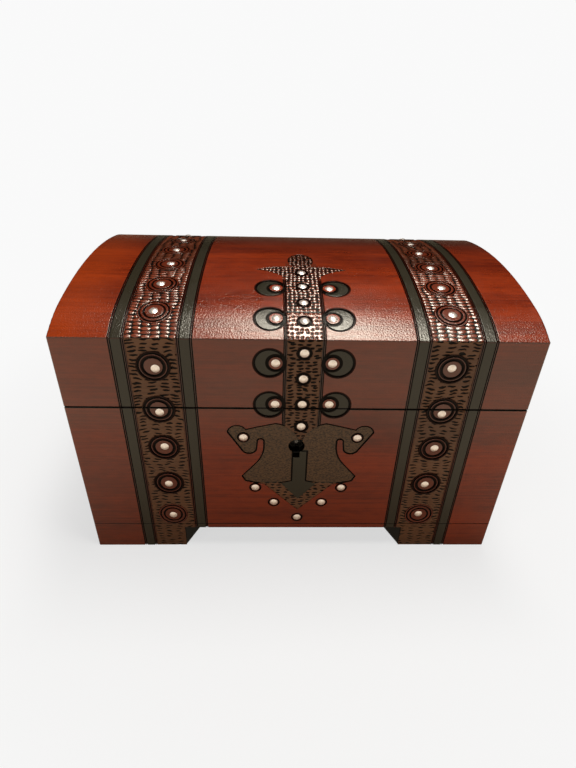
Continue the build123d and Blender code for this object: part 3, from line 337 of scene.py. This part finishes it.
def stain_rings(tree, x, y, z, off_x, centres, radius, spread):
    """The black stain that spreads over a ring's groove, for rings in mirrored pairs or in the middle."""
    nearest = 99.0
    for at_y, at_z in centres:
        aside, ahead, rise = (x - MIDDLE).size() - off_x, y - at_y, z - at_z
        reach = (aside * aside + ahead * ahead + rise * rise).by("SQRT")
        nearest = (reach - radius).size().lowest(nearest)
    return eased(tree, nearest, spread - RING_SOFTNESS, spread + RING_SOFTNESS, 1.0, 0.0)


def rings_of(face):
    """The rings whose stain has spread: how far aside, where, how wide, and how far it has spread."""
    if face == "dome":
        spots = [[dome_spot(run) for run in runs] for runs in (DOME_EARS, DOME_EARS, DOME_COLLARS)]
    else:
        rows = (FRONT_EARS, FRONT_EYES, FRONT_COLLARS, FRONT_RING_ROWS[1:])
        spots = [[(FRONT_FACE, rise) for rise in rises] for rises in rows]
    rings = [
        (EAR_X, spots[0], EAR_RADIUS, EAR_SPREAD),
        (EYE_X, spots[1], EYE_RADIUS, EYE_SPREAD),
        (0.0, spots[2], COLLAR_RADIUS, COLLAR_SPREAD),
    ]
    if face == "front":
        rings.append((BAND, spots[3], OUTER_RADIUS, OUTER_SPREAD))
        rings.append((BAND, spots[3], INNER_RADIUS, INNER_SPREAD))
    return rings


def carved(tree, x, y, z, face, colour):
    """The stain and paint of a carved face over its own stain, with painted shade in the keyhole and the
    face's painted shade and reflection, and how clear its varnish stays.
    """
    depth = (y - FRONT_FACE) if face == "front" else dome_depth(y, z)
    uncut = depth.under(UNCUT)
    aside = (x - MIDDLE).size()
    from_band = (aside - BAND).size()
    colour, painted_reflection_and_sheen = face_tone_and_painted_light(tree, x, y, z, face, colour)

    strap = z.over(STRAP_FROM_Z) if face == "front" else y.under(STRAP_TO_Y)
    lined = strap if face == "front" else y.under(WING_Y)
    land = from_band.under(BORDER_NEAR).highest(aside.under(STRAP_HALF) * strap)
    colour = blend(tree, land * uncut * LAND_SHARE, colour, LAND_BROWN)
    border = from_band.over(BORDER_NEAR) * from_band.under(BORDER_FAR) * uncut
    lines = aside.over(STRAP_LINE_NEAR) * aside.under(STRAP_LINE_FAR) * lined * uncut
    colour = blend(tree, border.highest(lines) * BORDER_SHARE, colour, GROOVE_BLACK_AND_SHADE)
    stripe = from_band.over(STRIPE_NEAR) * from_band.under(STRIPE_FAR) * uncut
    colour = blend(tree, stripe, colour, STRIPE_OLIVE)

    pocket = depth.over(POCKET_FROM) * depth.under(POCKET_TO)
    walls = depth.over(WALL_FROM) * depth.under(WALL_TO)
    groove = (depth.over(CUT_FROM) + walls).lowest(1.0)
    groove = groove * depth.under(CUT_TO) * x.size().under(RIM_X - RIM_LAND)
    paint, sheen = POCKET_OLIVE, 1.0
    if face == "front":
        plate = z.over(PLATE_LOW) * z.under(PLATE_HIGH)
        stem = aside.under(STEM_HALF) * z.under(STEM_TOP)
        weave = noise(tree, vector(tree, x * 0.9, y, z * 1.9), 1.0, 3.0, 0.65)
        cloth = blend(tree, eased(tree, weave, 0.36, 0.66), PLATE_BROWN, PLATE_DARK)
        paint = blend(tree, plate * (1.0 - stem), POCKET_OLIVE, cloth)
        sheen = painted_reflection_and_sheen * (1.0 - pocket.highest(stripe)) * VEIL_SHEEN + 1.0
        # Painted shade: the keyhole's walls are painted black along with the grooves.
        off_x, off_z = x - KEYHOLE_X, z - KEYHOLE_Z
        keyhole_painted_shade = (off_x * off_x + off_z * off_z).by("SQRT").under(KEYHOLE_ROOM)
        groove = groove.highest(keyhole_painted_shade * depth.over(CUT_FROM))
    colour = blend(tree, pocket, colour, paint)
    colour = blend(tree, groove, colour, GROOVE_BLACK_AND_SHADE)

    stains = [stain_rings(tree, x, y, z, *ring) for ring in rings_of(face)]
    rings = stains[0]
    for stain in stains[1:]:
        rings = rings.highest(stain)
    rings = rings * depth.under(CUT_TO)
    colour = blend(tree, rings * RING_SHARE, colour, GROOVE_BLACK_AND_SHADE)
    return colour, (1.0 - groove.highest(rings) * CUT_DULLNESS) * sheen


def varnish(tree, shader, x, y, z, pore, clear, gloss, coat, level, swing=0.1, edge=0.0):
    """A satin varnish with the fine ripple that it dries to, over the pores, where the wood is clear."""
    place = vector(tree, x, y, z)
    ripple = noise(tree, place, 1.4, 2.0)
    relief = ripple * 0.8 + (1.0 - pore) * 0.2
    smudge = noise(tree, place, 0.03, 3.0)
    finish_with(
        tree,
        shader,
        Roughness=eased(tree, smudge, 0.3, 0.7, gloss, gloss + 0.1),
        Coat_Weight=clear * coat,
        Specular_IOR_Level=clear * level,
        Coat_Roughness=gloss * 0.8,
        Normal=bump(tree, relief, swing * MM, 0.9, edge * MM),
        Coat_Normal=bump(tree, ripple, swing * MM, 0.9, edge * MM),
    )


# How each kind of face is varnished, with the ripple's swing and the eased edges in millimetres
FINISHES = {
    "plain": dict(gloss=0.3, coat=0.2, level=0.38, swing=0.1, edge=0.3),
    "front": dict(gloss=0.34, coat=0.2, level=0.38, swing=0.1, edge=0.3),
    "dome": dict(gloss=0.26, coat=0.8, level=0.5, swing=0.2, edge=0.5),
}


def board(name, along="x", face="plain"):
    """A board's material: carved on the front, carved on the dome, or plain."""
    material, tree, shader, (x, y, z) = new_material(name)
    colour, pore = stained(tree, x, y, z, along)
    clear = 1.0
    if face != "plain":
        colour, clear = carved(tree, x, y, z, face, colour)
    # Painted shade: black along the seam between lid and body and along the plinth's joint, on the outer
    # faces.
    seam_painted_shade = (z - SEAM).size().under(SEAM_SPREAD)
    plinth_painted_shade = (z - PLINTH_TOP).size().under(PLINTH_SPREAD) * PLINTH_SHARE
    rim = x.size().over(RIM_X).highest(y.size().over(RIM_Y))
    colour = blend(tree, (seam_painted_shade + plinth_painted_shade).lowest(1.0) * rim, colour, GROOVE_BLACK_AND_SHADE)
    if face == "front":
        arris = (z - ARRIS_Z).size().under(ARRIS_HALF) * ARRIS_SHARE
        colour = blend(tree, arris, colour, STAIN_PORE_AND_SHADE)
    # Painted shade: the faces between the feet, under the chest, are painted nearly black.
    painted_shade_between_feet = x.size().under(FOOT_GAP) if along == "x" else y.size().under(FOOT_GAP_SIDE)
    colour = blend(tree, painted_shade_between_feet * z.under(FOOT_GAP_TOP), colour, GROOVE_BLACK_AND_SHADE)
    if face == "dome":
        inside = dome_depth(y, z).over(TOP_THICKNESS) * x.size().under(HALF_INSIDE)
    else:
        inside = x.size().under(HALF_INSIDE) * y.size().under(HALF_DEPTH) * z.over(PLINTH_TOP)
    colour = blend(tree, inside, colour, bare_colour(tree, x, y, z, along))
    varnish(tree, shader, x, y, z, pore, clear, **FINISHES[face])
    finish_with(tree, shader, Base_Color=colour)
    return material


def dress(material, *names):
    """Gives CAD pieces a material."""
    for name in names:
        for slot in nodes[name].material_slots:
            slot.material = material


dress(board("front_board", face="front"), "front_wall", "lid_front", "plinth_front")
dress(board("back_board"), "back_wall", "lid_back", "plinth_back")
ends = [f"{part}_{side}" for part in ("lid", "plinth") for side in ("left", "right")]
dress(board("end_board", along="y"), "right_wall", "left_wall", *ends)
dress(board("top_board", face="dome"), "lid_top")


# Bottom panel
# A thin board of bare linden that is let into the lower edges of the four walls.

bottom, tree, shader, (x, y, z) = new_material("bare_board")
finish_with(tree, shader, Base_Color=bare_colour(tree, x, y, z, "x"), Roughness=0.6)
dress(bottom, "bottom_panel")


# Brass tacks
# Small domed upholstery tacks, polished and a little worn, driven into the rings and along the strap.

TACK_BRIGHT = srgb(255, 248, 250)
TACK_WORN = srgb(248, 232, 224)

tack_metal, tree, shader, (x, y, z) = new_material("tack_metal")
wear = noise(tree, vector(tree, x, y, z), 1.6, 3.0)
finish_with(
    tree,
    shader,
    Base_Color=blend(tree, eased(tree, wear, 0.45, 0.75), TACK_BRIGHT, TACK_WORN),
    Metallic=0.8,
    Roughness=eased(tree, wear, 0.3, 0.7, 0.32, 0.45),
    Normal=bump(tree, wear, 0.08 * MM),
)
dress(tack_metal, "body_tacks", "lid_front_tacks", "lid_top_tacks")


# Hinges, lock and screws
# Two small brass butt hinges and a brass strike sit in the edges of the boards. The lock is a folded
# steel case with a brass bolt, and every screw is a countersunk steel one with a straight slot.


def metal(name, shade, worn, roughness):
    """A worked metal with faint wear."""
    material, tree, shader, (x, y, z) = new_material(name)
    wear = noise(tree, vector(tree, x, y, z), 0.7, 4.0, 0.6)
    lines = noise(tree, vector(tree, x * 0.2, y * 6.0, z * 6.0), 1.0, 2.0)
    finish_with(
        tree,
        shader,
        Base_Color=blend(tree, eased(tree, wear, 0.4, 0.7), shade, worn),
        Metallic=1.0,
        Roughness=eased(tree, wear, 0.3, 0.7, roughness, roughness + 0.15),
        Normal=bump(tree, lines * 0.6 + wear * 0.4, 0.03 * MM),
    )
    return material


hinge_parts = ("body_leaf", "lid_leaf", "pin")
hinge_names = [f"hinge_{side}_{part}" for side in ("left", "right") for part in hinge_parts]
dress(metal("hinge_brass", srgb(206, 168, 92), srgb(150, 112, 58), 0.3), *hinge_names)
dress(metal("strike_brass", srgb(210, 172, 96), srgb(156, 118, 62), 0.28), "strike_plate")
dress(metal("bolt_brass", srgb(190, 150, 80), srgb(140, 104, 54), 0.34), "lock_bolt")
lock_steel = metal("lock_steel", srgb(150, 150, 152), srgb(92, 90, 90), 0.38)
dress(lock_steel, "lock_case", "lock_cap", "strike_hook")
lock_pins = metal("lock_pins", srgb(120, 120, 122), srgb(72, 70, 70), 0.4)
dress(lock_pins, "lock_key_post", "lock_guide_studs")
dress(metal("spring_steel", srgb(96, 100, 112), srgb(60, 62, 70), 0.32), "lock_spring")
screw_names = ("lock_cap_screws", "strike_screws", "hinge_screws_body", "hinge_screws_lid")
dress(metal("screw_steel", srgb(186, 182, 172), srgb(120, 114, 104), 0.32), *screw_names)


# Tool marks
# The ground of the bands and of the strap is struck with a small tool, in rows of short dents.
# The stain pools in the dents, and the ridges between them catch the light.

GROUND_FLOOR = 0.62
RAY_FROM, RAY_REACH, FALL_LEAST, FALL_MOST = -1.0, 0.01, 1.45, 1.8
MARK_OBJECTS = ("Board", "Rings", "Tacks", "More tacks")
MARK_PLACES = ("Middle", "Width", "Start", "Length", "Cell", "Row", "Pitch", "Ring room")
MARK_LOOKS = ("Clear of tacks", "Seed", "Base", "Stroke", "Mark length", "Mark height", "Wave", "Stray")
MARK_LIMITS = ("Neck", "Flare")


def node_in(tree, kind, **values):
    """A node with its inputs fed by name."""
    node = tree.nodes.new(kind)
    for name, value in values.items():
        feed(tree, value, node.inputs[name.replace("_", " ")])
    return node


def vector_step(tree, kind, first, second):
    """One step of arithmetic with vectors, where a scale takes a number as its second value."""
    node = tree.nodes.new("ShaderNodeVectorMath")
    node.operation = kind
    feed(tree, first, node.inputs[0])
    feed(tree, second, node.inputs["Scale"] if kind == "SCALE" else node.inputs[1])
    return Term(tree, node.outputs[0])


def on_dome(tree, x, run, depth):
    """A place under the dome's surface, from its run of surface and its depth, in millimetres."""
    front = (SHOULDER_RUN - run).highest(0.0)
    back = (run - (DOME_RUN - SHOULDER_RUN)).highest(0.0)
    middle = run.highest(SHOULDER_RUN).lowest(DOME_RUN - SHOULDER_RUN) - SHOULDER_RUN
    angle = (front - back) / SHOULDER_RADIUS + (CROWN - middle / CROWN_RADIUS)
    edge = angle.size().over(CROWN + 0.00001)
    radius = edge * (SHOULDER_RADIUS - CROWN_RADIUS) + CROWN_RADIUS - depth
    centre_y = angle.by("SIGN") * edge * -SHOULDER_Y
    centre_z = edge * (SHOULDER_Z - CROWN_Z) + CROWN_Z
    return vector(tree, x, centre_y - radius * angle.by("SINE"), centre_z + radius * angle.by("COSINE"))


def distance_to(tree, target, element, place):
    """How far a place is from the faces or the points of an object."""
    holder = node_in(tree, "GeometryNodeObjectInfo", Object=target)
    close = tree.nodes.new("GeometryNodeProximity")
    close.target_element = element
    feed(tree, Term(tree, holder.outputs["Geometry"]), close.inputs[0])
    feed(tree, place, close.inputs["Sample Position"])
    return Term(tree, close.outputs["Distance"])


def mark_inputs(tree):
    """The rule's named inputs: four objects, the sizes and the material."""
    wanted = [(title, "NodeSocketObject") for title in MARK_OBJECTS]
    wanted += [(title, "NodeSocketFloat") for title in MARK_PLACES + MARK_LOOKS + MARK_LIMITS]
    wanted.append(("Material", "NodeSocketMaterial"))
    tree.interface.new_socket("Geometry", in_out="OUTPUT", socket_type="NodeSocketGeometry")
    for title, kind in wanted:
        tree.interface.new_socket(title, in_out="INPUT", socket_type=kind)
    given = tree.nodes.new("NodeGroupInput")
    return {title: Term(tree, given.outputs[title]) for title, kind in wanted}


def struck(tree, value, across, x, run):
    """How deep the struck ground lies: rows of oval marks that sway, lean and stray a little."""
    sway = noise(tree, vector(tree, x * 0.16, run * 0.1, value["Seed"]), 1.0, 2.0) - 0.5
    lean = noise(tree, vector(tree, x * 0.02, run * 0.06, value["Seed"] + 5.0), 1.0, 2.0) - 0.5
    level = run / value["Row"] + sway * value["Wave"]
    row = level.by("FLOOR")
    shift = across / value["Pitch"] + lean * 1.2
    column = shift.by("FLOOR")
    luck = node_in(tree, "ShaderNodeTexWhiteNoise", Vector=vector(tree, row, column, value["Seed"]))
    luck_x, luck_y, luck_z = [part - 0.5 for part in parts_of(tree, Term(tree, luck.outputs[1]))]
    long = value["Mark length"] / value["Pitch"] * 0.5 * (luck_z * 0.3 + 0.95)
    tall = value["Mark height"] / value["Row"] * 0.5
    sideways = (shift - column - 0.5 + luck_x * value["Stray"]) / long
    upwards = (level - row - 0.5 + luck_y * value["Stray"]) / tall
    mark = (1.0 - (sideways * sideways + upwards * upwards)).highest(0.0)
    return value["Base"] + mark * value["Stroke"]


def closed_slab(tree, grid, laid):
    """A closed slab with a smooth top, raised by 1 over the chosen faces of a flat grid."""
    kept = node_in(
        tree,
        "GeometryNodeDeleteGeometry",
        Geometry=Term(tree, grid.outputs[0]),
        Selection=1.0 - laid,
    )
    kept.domain = "FACE"
    sheet = Term(tree, kept.outputs[0])
    raised = node_in(tree, "GeometryNodeExtrudeMesh", Mesh=sheet, Offset_Scale=1.0, Individual=False)
    under = node_in(tree, "GeometryNodeFlipFaces", Mesh=sheet)
    both = tree.nodes.new("GeometryNodeJoinGeometry")
    for part in (raised.outputs["Mesh"], under.outputs[0]):
        tree.links.new(part, both.inputs[0])
    slab = node_in(tree, "GeometryNodeMergeByDistance", Geometry=Term(tree, both.outputs[0]), Distance=0.001)
    smooth = node_in(
        tree,
        "GeometryNodeSetShadeSmooth",
        Geometry=Term(tree, slab.outputs[0]),
        Selection=Term(tree, raised.outputs["Top"]),
    )
    return Term(tree, smooth.outputs[0])


def marks_tree(name, curved):
    """The rule for a thin struck ground on a board's cut-down parts, clear of the rings and the tacks."""
    tree = bpy.data.node_groups.new(name, "GeometryNodeTree")
    value = mark_inputs(tree)
    grid = node_in(
        tree,
        "GeometryNodeMeshGrid",
        Size_X=value["Width"],
        Size_Y=value["Length"],
        Vertices_X=(value["Width"] / value["Cell"]).by("ROUND"),
        Vertices_Y=(value["Length"] / value["Cell"] * 1.25).by("ROUND"),
    )
    place = Term(tree, tree.nodes.new("GeometryNodeInputPosition").outputs[0])
    across, up, lift = parts_of(tree, place)
    run = up + value["Length"] * 0.5 + value["Start"]
    x = across + value["Middle"] + MIDDLE

    def spot(under):
        if curved:
            return vector_step(tree, "SCALE", on_dome(tree, x, run, under), MM)
        return vector_step(tree, "SCALE", vector(tree, x, under + FRONT_FACE, run), MM)

    board_mesh = node_in(tree, "GeometryNodeObjectInfo", Object=value["Board"])
    hit = node_in(
        tree,
        "GeometryNodeRaycast",
        Target_Geometry=Term(tree, board_mesh.outputs["Geometry"]),
        Source_Position=spot(RAY_FROM),
        Ray_Direction=vector_step(tree, "SUBTRACT", spot(0.0), spot(RAY_FROM)),
        Ray_Length=RAY_REACH,
    )
    fall = Term(tree, hit.outputs["Hit Distance"]) / MM
    tack_titles = ("Tacks", "More tacks")
    first, second = [distance_to(tree, value[title], "FACES", spot(0.0)) / MM for title in tack_titles]
    from_ring = distance_to(tree, value["Rings"], "POINTS", vector(tree, across, run, 0.0))
    free = first.lowest(second).over(value["Clear of tacks"])
    open_up = (run.over(value["Flare"]) + across.size().under(value["Neck"])).over(0.5)
    cut_down = fall.over(FALL_LEAST) * fall.under(FALL_MOST)
    slab = closed_slab(tree, grid, cut_down * free * from_ring.over(value["Ring room"]) * open_up)

    on_top = lift.over(0.5)
    depth = (struck(tree, value, across, x, run) - GROUND_FLOOR) * on_top + GROUND_FLOOR
    bent = node_in(tree, "GeometryNodeSetPosition", Geometry=slab, Position=spot(depth))
    real = node_in(tree, "GeometryNodeRealizeInstances", Geometry=Term(tree, bent.outputs[0]))
    stained_slab = node_in(
        tree,
        "GeometryNodeSetMaterial",
        Geometry=Term(tree, real.outputs[0]),
        Material=value["Material"],
    )
    out = tree.nodes.new("NodeGroupOutput")
    tree.links.new(stained_slab.outputs[0], out.inputs[0])
    return tree


flat_marks = marks_tree("flat_marks", False)
dome_marks = marks_tree("dome_marks", True)

GROUND_DULL = srgb(62, 36, 24)
GROUND_FINISHES = {
    "front": dict(gloss=0.28, coat=0.15, level=0.3),
    "dome": dict(gloss=0.28, coat=1.0, level=1.0),
}


def ground(name, face, dark_from, shade_low, shade_high):
    """The material of the struck ground: stained dark in the dents, brown on the ridges."""
    material, tree, shader, (x, y, z) = new_material(name)
    broad, fine, pore = grain(tree, x, y, z, "x")
    colour = blend(tree, eased(tree, broad * 0.5 + fine * 0.5, 0.3, 0.7), shade_low, shade_high)
    depth, back_clear = y - FRONT_FACE, 1.0
    if face == "dome":
        depth = dome_depth(y, z)
        # Darker and duller toward the back of the dome.
        worn = eased(tree, y, -30.0, 0.0)
        colour = blend(tree, worn * 0.7, colour, GROUND_DULL)
        back_clear = 1.0 - worn * 0.75
        finish_with(tree, shader, Coat_IOR=1.75)
    deep = eased(tree, depth, dark_from, dark_from + 0.1)
    colour = blend(tree, deep, colour, GROOVE_BLACK_AND_SHADE)
    clear = (1.0 - deep * 0.7) * back_clear
    varnish(tree, shader, x, y, z, pore, clear, **GROUND_FINISHES[face])
    finish_with(tree, shader, Base_Color=colour)
    return material


front_ground = ground("front_ground", "front", 0.22, srgb(90, 56, 38), srgb(120, 80, 54))
dome_ground = ground("dome_ground", "dome", 0.34, srgb(96, 36, 20), srgb(158, 72, 42))


def rows_object(name, rows):
    """A helper whose points lie at the middles of a band's rings, along its run."""
    mesh = bpy.data.meshes.new(name)
    mesh.from_pydata([(0.0, row, 0.0) for row in rows], [], [])
    helper = bpy.data.objects.new(name, mesh)
    bpy.context.scene.collection.objects.link(helper)
    return helper


def strike(name, tree, board_name, body, slot, rings, tacks, material, **sizes):
    """Lays the marks over one strip of a board and keeps the result as a plain mesh."""
    holder = bpy.data.objects.new(name + "_rule", bpy.data.meshes.new(name + "_rule"))
    bpy.context.scene.collection.objects.link(holder)
    rule = holder.modifiers.new("rule", "NODES")
    rule.node_group = tree
    values = {
        "Board": nodes[board_name],
        "Rings": rings,
        "Tacks": nodes[tacks[0]],
        "More tacks": nodes[tacks[1]],
        "Material": material,
    }
    for title, size in sizes.items():
        values[title.replace("_", " ")] = size
    for item in tree.interface.items_tree:
        if item.in_out == "INPUT":
            rule[item.identifier] = values[item.name]
    bpy.context.view_layer.update()
    graph = bpy.context.evaluated_depsgraph_get()
    mesh = bpy.data.meshes.new_from_object(holder.evaluated_get(graph), depsgraph=graph)
    bpy.data.objects.remove(holder)
    piece = bpy.data.objects.new(name, mesh)
    bpy.context.scene.collection.objects.link(piece)
    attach(piece, body)


RING_FIRST_SHARE, RING_COUNT = 0.112, 6
first_ring = RING_FIRST_SHARE * DOME_RUN
ring_pitch = (DOME_RUN - 2 * first_ring) / (RING_COUNT - 1)
front_rings = rows_object("front_rings", FRONT_RING_ROWS)
dome_rings = rows_object("dome_rings", [first_ring + k * ring_pitch for k in range(RING_COUNT)])
on_front = (front_rings, ("body_tacks", "lid_front_tacks"), front_ground)
on_top = (dome_rings, ("lid_top_tacks", "lid_front_tacks"), dome_ground)

# The tool's marks, in millimetres: dents on the front's bands and strap, and on the lid raised beads
# on the bands, pits at the strap's foot and raised dots above them
LOW, RAISED, RAISE = 0.14, 0.46, -0.32
dashes = dict(Base=LOW, Mark_length=5.2, Mark_height=1.3, Row=2.05, Pitch=5.6, Wave=2.2, Stray=0.35)
nicks = dict(Base=LOW, Mark_length=3.6, Mark_height=1.4, Row=1.75, Pitch=3.8, Wave=1.6, Stray=0.5)
beads = dict(Base=RAISED, Stroke=RAISE, Mark_length=4.7, Mark_height=2.0, Row=2.3, Pitch=4.2)
beads |= dict(Wave=1.2, Stray=0.1)
small = dict(Row=2.4, Pitch=2.1, Wave=0.6)
pits = dict(Base=LOW, Stroke=0.42, Mark_length=2.0, Mark_height=2.0, Stray=0.4, **small)
dots = dict(Base=RAISED, Stroke=RAISE, Mark_length=2.0, Mark_height=1.8, Stray=0.3, **small)
whole = dict(Neck=99.0, Flare=999.0)

EDGE_GAP = 0.3
# Each board's own strip: the board, its body and slot, where the strip starts, its length and the stroke
rails = (
    ("plinth_front", "box", "plinth_linden", 0.0, 17.3, 0.22),
    ("front_wall", "box", "wall_linden", 17.7, 77.9, 0.28),
    ("lid_front", "lid", "lid_rail_linden", 96.7, 35.9, 0.4),
)
for hand, side in (("left", -1), ("right", 1)):
    strip = dict(Middle=side * BAND, Width=22.0, Cell=0.35, Ring_room=7.8, Clear_of_tacks=1.6, **whole)
    strip["Seed"] = 3.0 + side
    for board_name, body, slot, start, length, stroke in rails:
        name = f"{board_name}_{hand}_marks"
        sizes = dict(Start=start, Length=length, Stroke=stroke, **strip, **dashes)
        strike(name, flat_marks, board_name, body, slot, *on_front, **sizes)
    sizes = dict(Start=EDGE_GAP, Length=DOME_RUN - EDGE_GAP, **strip, **beads)
    strike(f"lid_top_{hand}_marks", dome_marks, "lid_top", "lid", "lid_top_linden", *on_top, **sizes)

# The strap's parts in the same way, with their width before the stroke
middle = dict(Middle=0.0, Cell=0.25, Ring_room=0.0, Clear_of_tacks=1.6, Seed=8.0)
straps = (
    ("lid_front_strap_marks", "lid_front", "lid", "lid_rail_linden", 96.7, 35.9, 15.5, 0.4),
    ("front_wall_strap_marks", "front_wall", "box", "wall_linden", 77.5, 18.1, 15.5, 0.28),
    ("front_wall_point_marks", "front_wall", "box", "wall_linden", 27.5, 21.0, 44.0, 0.28),
)
for name, board_name, body, slot, start, length, width, stroke in straps:
    sizes = dict(Start=start, Length=length, Width=width, Stroke=stroke, **middle, **whole, **nicks)
    strike(name, flat_marks, board_name, body, slot, *on_front, **sizes)
dome_straps = (
    ("lid_top_strap_foot_marks", dict(Start=EDGE_GAP, Length=14.7, Width=15.5, **whole, **pits)),
    ("lid_top_strap_marks", dict(Start=15.0, Length=65.0, Width=46.0, Neck=7.75, Flare=44.5, **dots)),
)
for name, sizes in dome_straps:
    strike(name, dome_marks, "lid_top", "lid", "lid_top_linden", *on_top, **middle, **sizes)
for helper in (front_rings, dome_rings):
    bpy.data.objects.remove(helper)


# Floor, light and camera
# A plain pale floor, one wide soft lamp overhead, a weaker one from the left, and the photo's own view.

WHITE = (1.0, 1.0, 1.0, 1.0)
SHOWN_LEVEL = 0.95
FLOOR_REACH = 3.0

corners = [(-1, -1), (1, -1), (1, 1), (-1, 1)]
floor = bpy.data.objects.new("floor", bpy.data.meshes.new("floor"))
floor.data.from_pydata([(a * FLOOR_REACH, b * FLOOR_REACH, 0) for a, b in corners], [], [(0, 1, 2, 3)])
bpy.context.scene.collection.objects.link(floor)
floor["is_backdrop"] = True
pale, tree, shader, (x, y, z) = new_material("pale_floor")
away = (x * x + y * y).by("SQRT")
rays = tree.nodes.new("ShaderNodeLightPath")
seen = Term(tree, rays.outputs["Is Camera Ray"])
mirrored = Term(tree, rays.outputs["Is Glossy Ray"])
glare = blend(tree, mirrored, WHITE, srgb(255, 240, 212))
white = node_in(tree, "ShaderNodeEmission", Color=glare, Strength=SHOWN_LEVEL)
# Close to the chest the floor keeps its shadow, farther out it passes into the white background.
# The varnish mirrors it only in front, where for mirrored rays the floor glows a pale cream, a painted
# reflection.
shown = eased(tree, away, 100.0, 320.0, 0.68, 1.0) * seen
glow = eased(tree, away, 120.0, 300.0, 0.1, 1.0) * eased(tree, y, -60.0, 20.0, 1.0, 0.0)
fade = tree.nodes.new("ShaderNodeMixShader")
feed(tree, shown + glow * mirrored, fade.inputs[0])
tree.links.new(shader.outputs[0], fade.inputs[1])
tree.links.new(white.outputs[0], fade.inputs[2])
tree.links.new(fade.outputs[0], tree.nodes["Material Output"].inputs["Surface"])
# Painted shadow: for all but camera rays the floor is darker near the chest, where its shadow falls.
shadow_fade = eased(tree, away, 80.0, 270.0)
floor_painted_shadow = blend(tree, shadow_fade, srgb(146, 124, 106), srgb(242, 230, 214))
finish_with(tree, shader, Base_Color=blend(tree, seen, floor_painted_shadow, srgb(232, 238, 254)), Roughness=0.9)
floor.data.materials.append(pale)

world = bpy.data.worlds.new("studio")
bpy.context.scene.world = world
world.use_nodes = True
tree = world.node_tree
tree.nodes.clear()
rays = tree.nodes.new("ShaderNodeLightPath")
mirrored = Term(tree, rays.outputs["Is Glossy Ray"])
heading = tree.nodes.new("ShaderNodeTexCoord")
aside, ahead, height = parts_of(tree, Term(tree, heading.outputs["Generated"]))
# Polished faces mirror a bright panel that stands low in front, and little above or behind
panel = eased(tree, ahead, -0.8, -0.15, 0.85, 0.012) * eased(tree, height, 0.35, 0.75, 1.0, 0.05)
strength = eased(tree, height, 0.2, 0.9, 0.03, 0.1) * (1.0 - mirrored) + panel * mirrored
lit = node_in(tree, "ShaderNodeBackground", Color=srgb(244, 229, 200), Strength=strength)
backdrop = node_in(tree, "ShaderNodeBackground", Color=WHITE, Strength=SHOWN_LEVEL)
choice = tree.nodes.new("ShaderNodeMixShader")
tree.links.new(rays.outputs["Is Camera Ray"], choice.inputs[0])
tree.links.new(lit.outputs[0], choice.inputs[1])
tree.links.new(backdrop.outputs[0], choice.inputs[2])
sky = tree.nodes.new("ShaderNodeOutputWorld")
tree.links.new(choice.outputs[0], sky.inputs[0])

LAMP_TINT = (1.0, 0.93, 0.78)


def soft_lamp(name, place, aim, width, height, power):
    """A rectangular lamp that looks at a place."""
    data = bpy.data.lights.new(name, "AREA")
    data.shape = "RECTANGLE"
    data.size = width
    data.size_y = height
    data.energy = power
    data.color = LAMP_TINT
    lamp = bpy.data.objects.new(name, data)
    lamp.location = place
    lamp.rotation_euler = (Vector(aim) - Vector(place)).to_track_quat("-Z", "Y").to_euler()
    bpy.context.scene.collection.objects.link(lamp)


soft_lamp("overhead", (0.13, 0.03, 1.0), (0.0, -0.02, 0.1), 0.7, 0.2, 9.5)
soft_lamp("left_fill", (-0.9, -0.9, 0.8), (0.0, 0.0, 0.06), 0.6, 0.6, 2.8)

# The camera as fitted to the chest's edges in the photo, with angles in radians and the focus in pixels
CAMERA_PLACE = (-0.012829, -0.267887, 0.238859)
YAW, PITCH, ROLL = 0.0367, 0.5766, 0.0290
FOCUS_PIXELS, PHOTO_PIXELS, SENSOR = 515.81, 768, 36.0

camera_data = bpy.data.cameras.new("camera")
camera_data.sensor_width = SENSOR
camera_data.lens = FOCUS_PIXELS * SENSOR / PHOTO_PIXELS
camera = bpy.data.objects.new("camera", camera_data)
ahead = Vector((sin(YAW) * cos(PITCH), cos(YAW) * cos(PITCH), -sin(PITCH)))
right = Vector((cos(YAW), -sin(YAW), 0.0))
up = right.cross(ahead)
right_rolled = right * cos(ROLL) + up * sin(ROLL)
up_rolled = up * cos(ROLL) - right * sin(ROLL)
turn = Matrix((right_rolled, up_rolled, -ahead)).transposed().to_4x4()
camera.matrix_world = Matrix.Translation(CAMERA_PLACE) @ turn
bpy.context.scene.collection.objects.link(camera)
bpy.context.scene.camera = camera
bpy.context.scene.view_settings.view_transform = "Standard"

sizes = [[list(corner) for corner in pair] for pair in (bounds_before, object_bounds())]
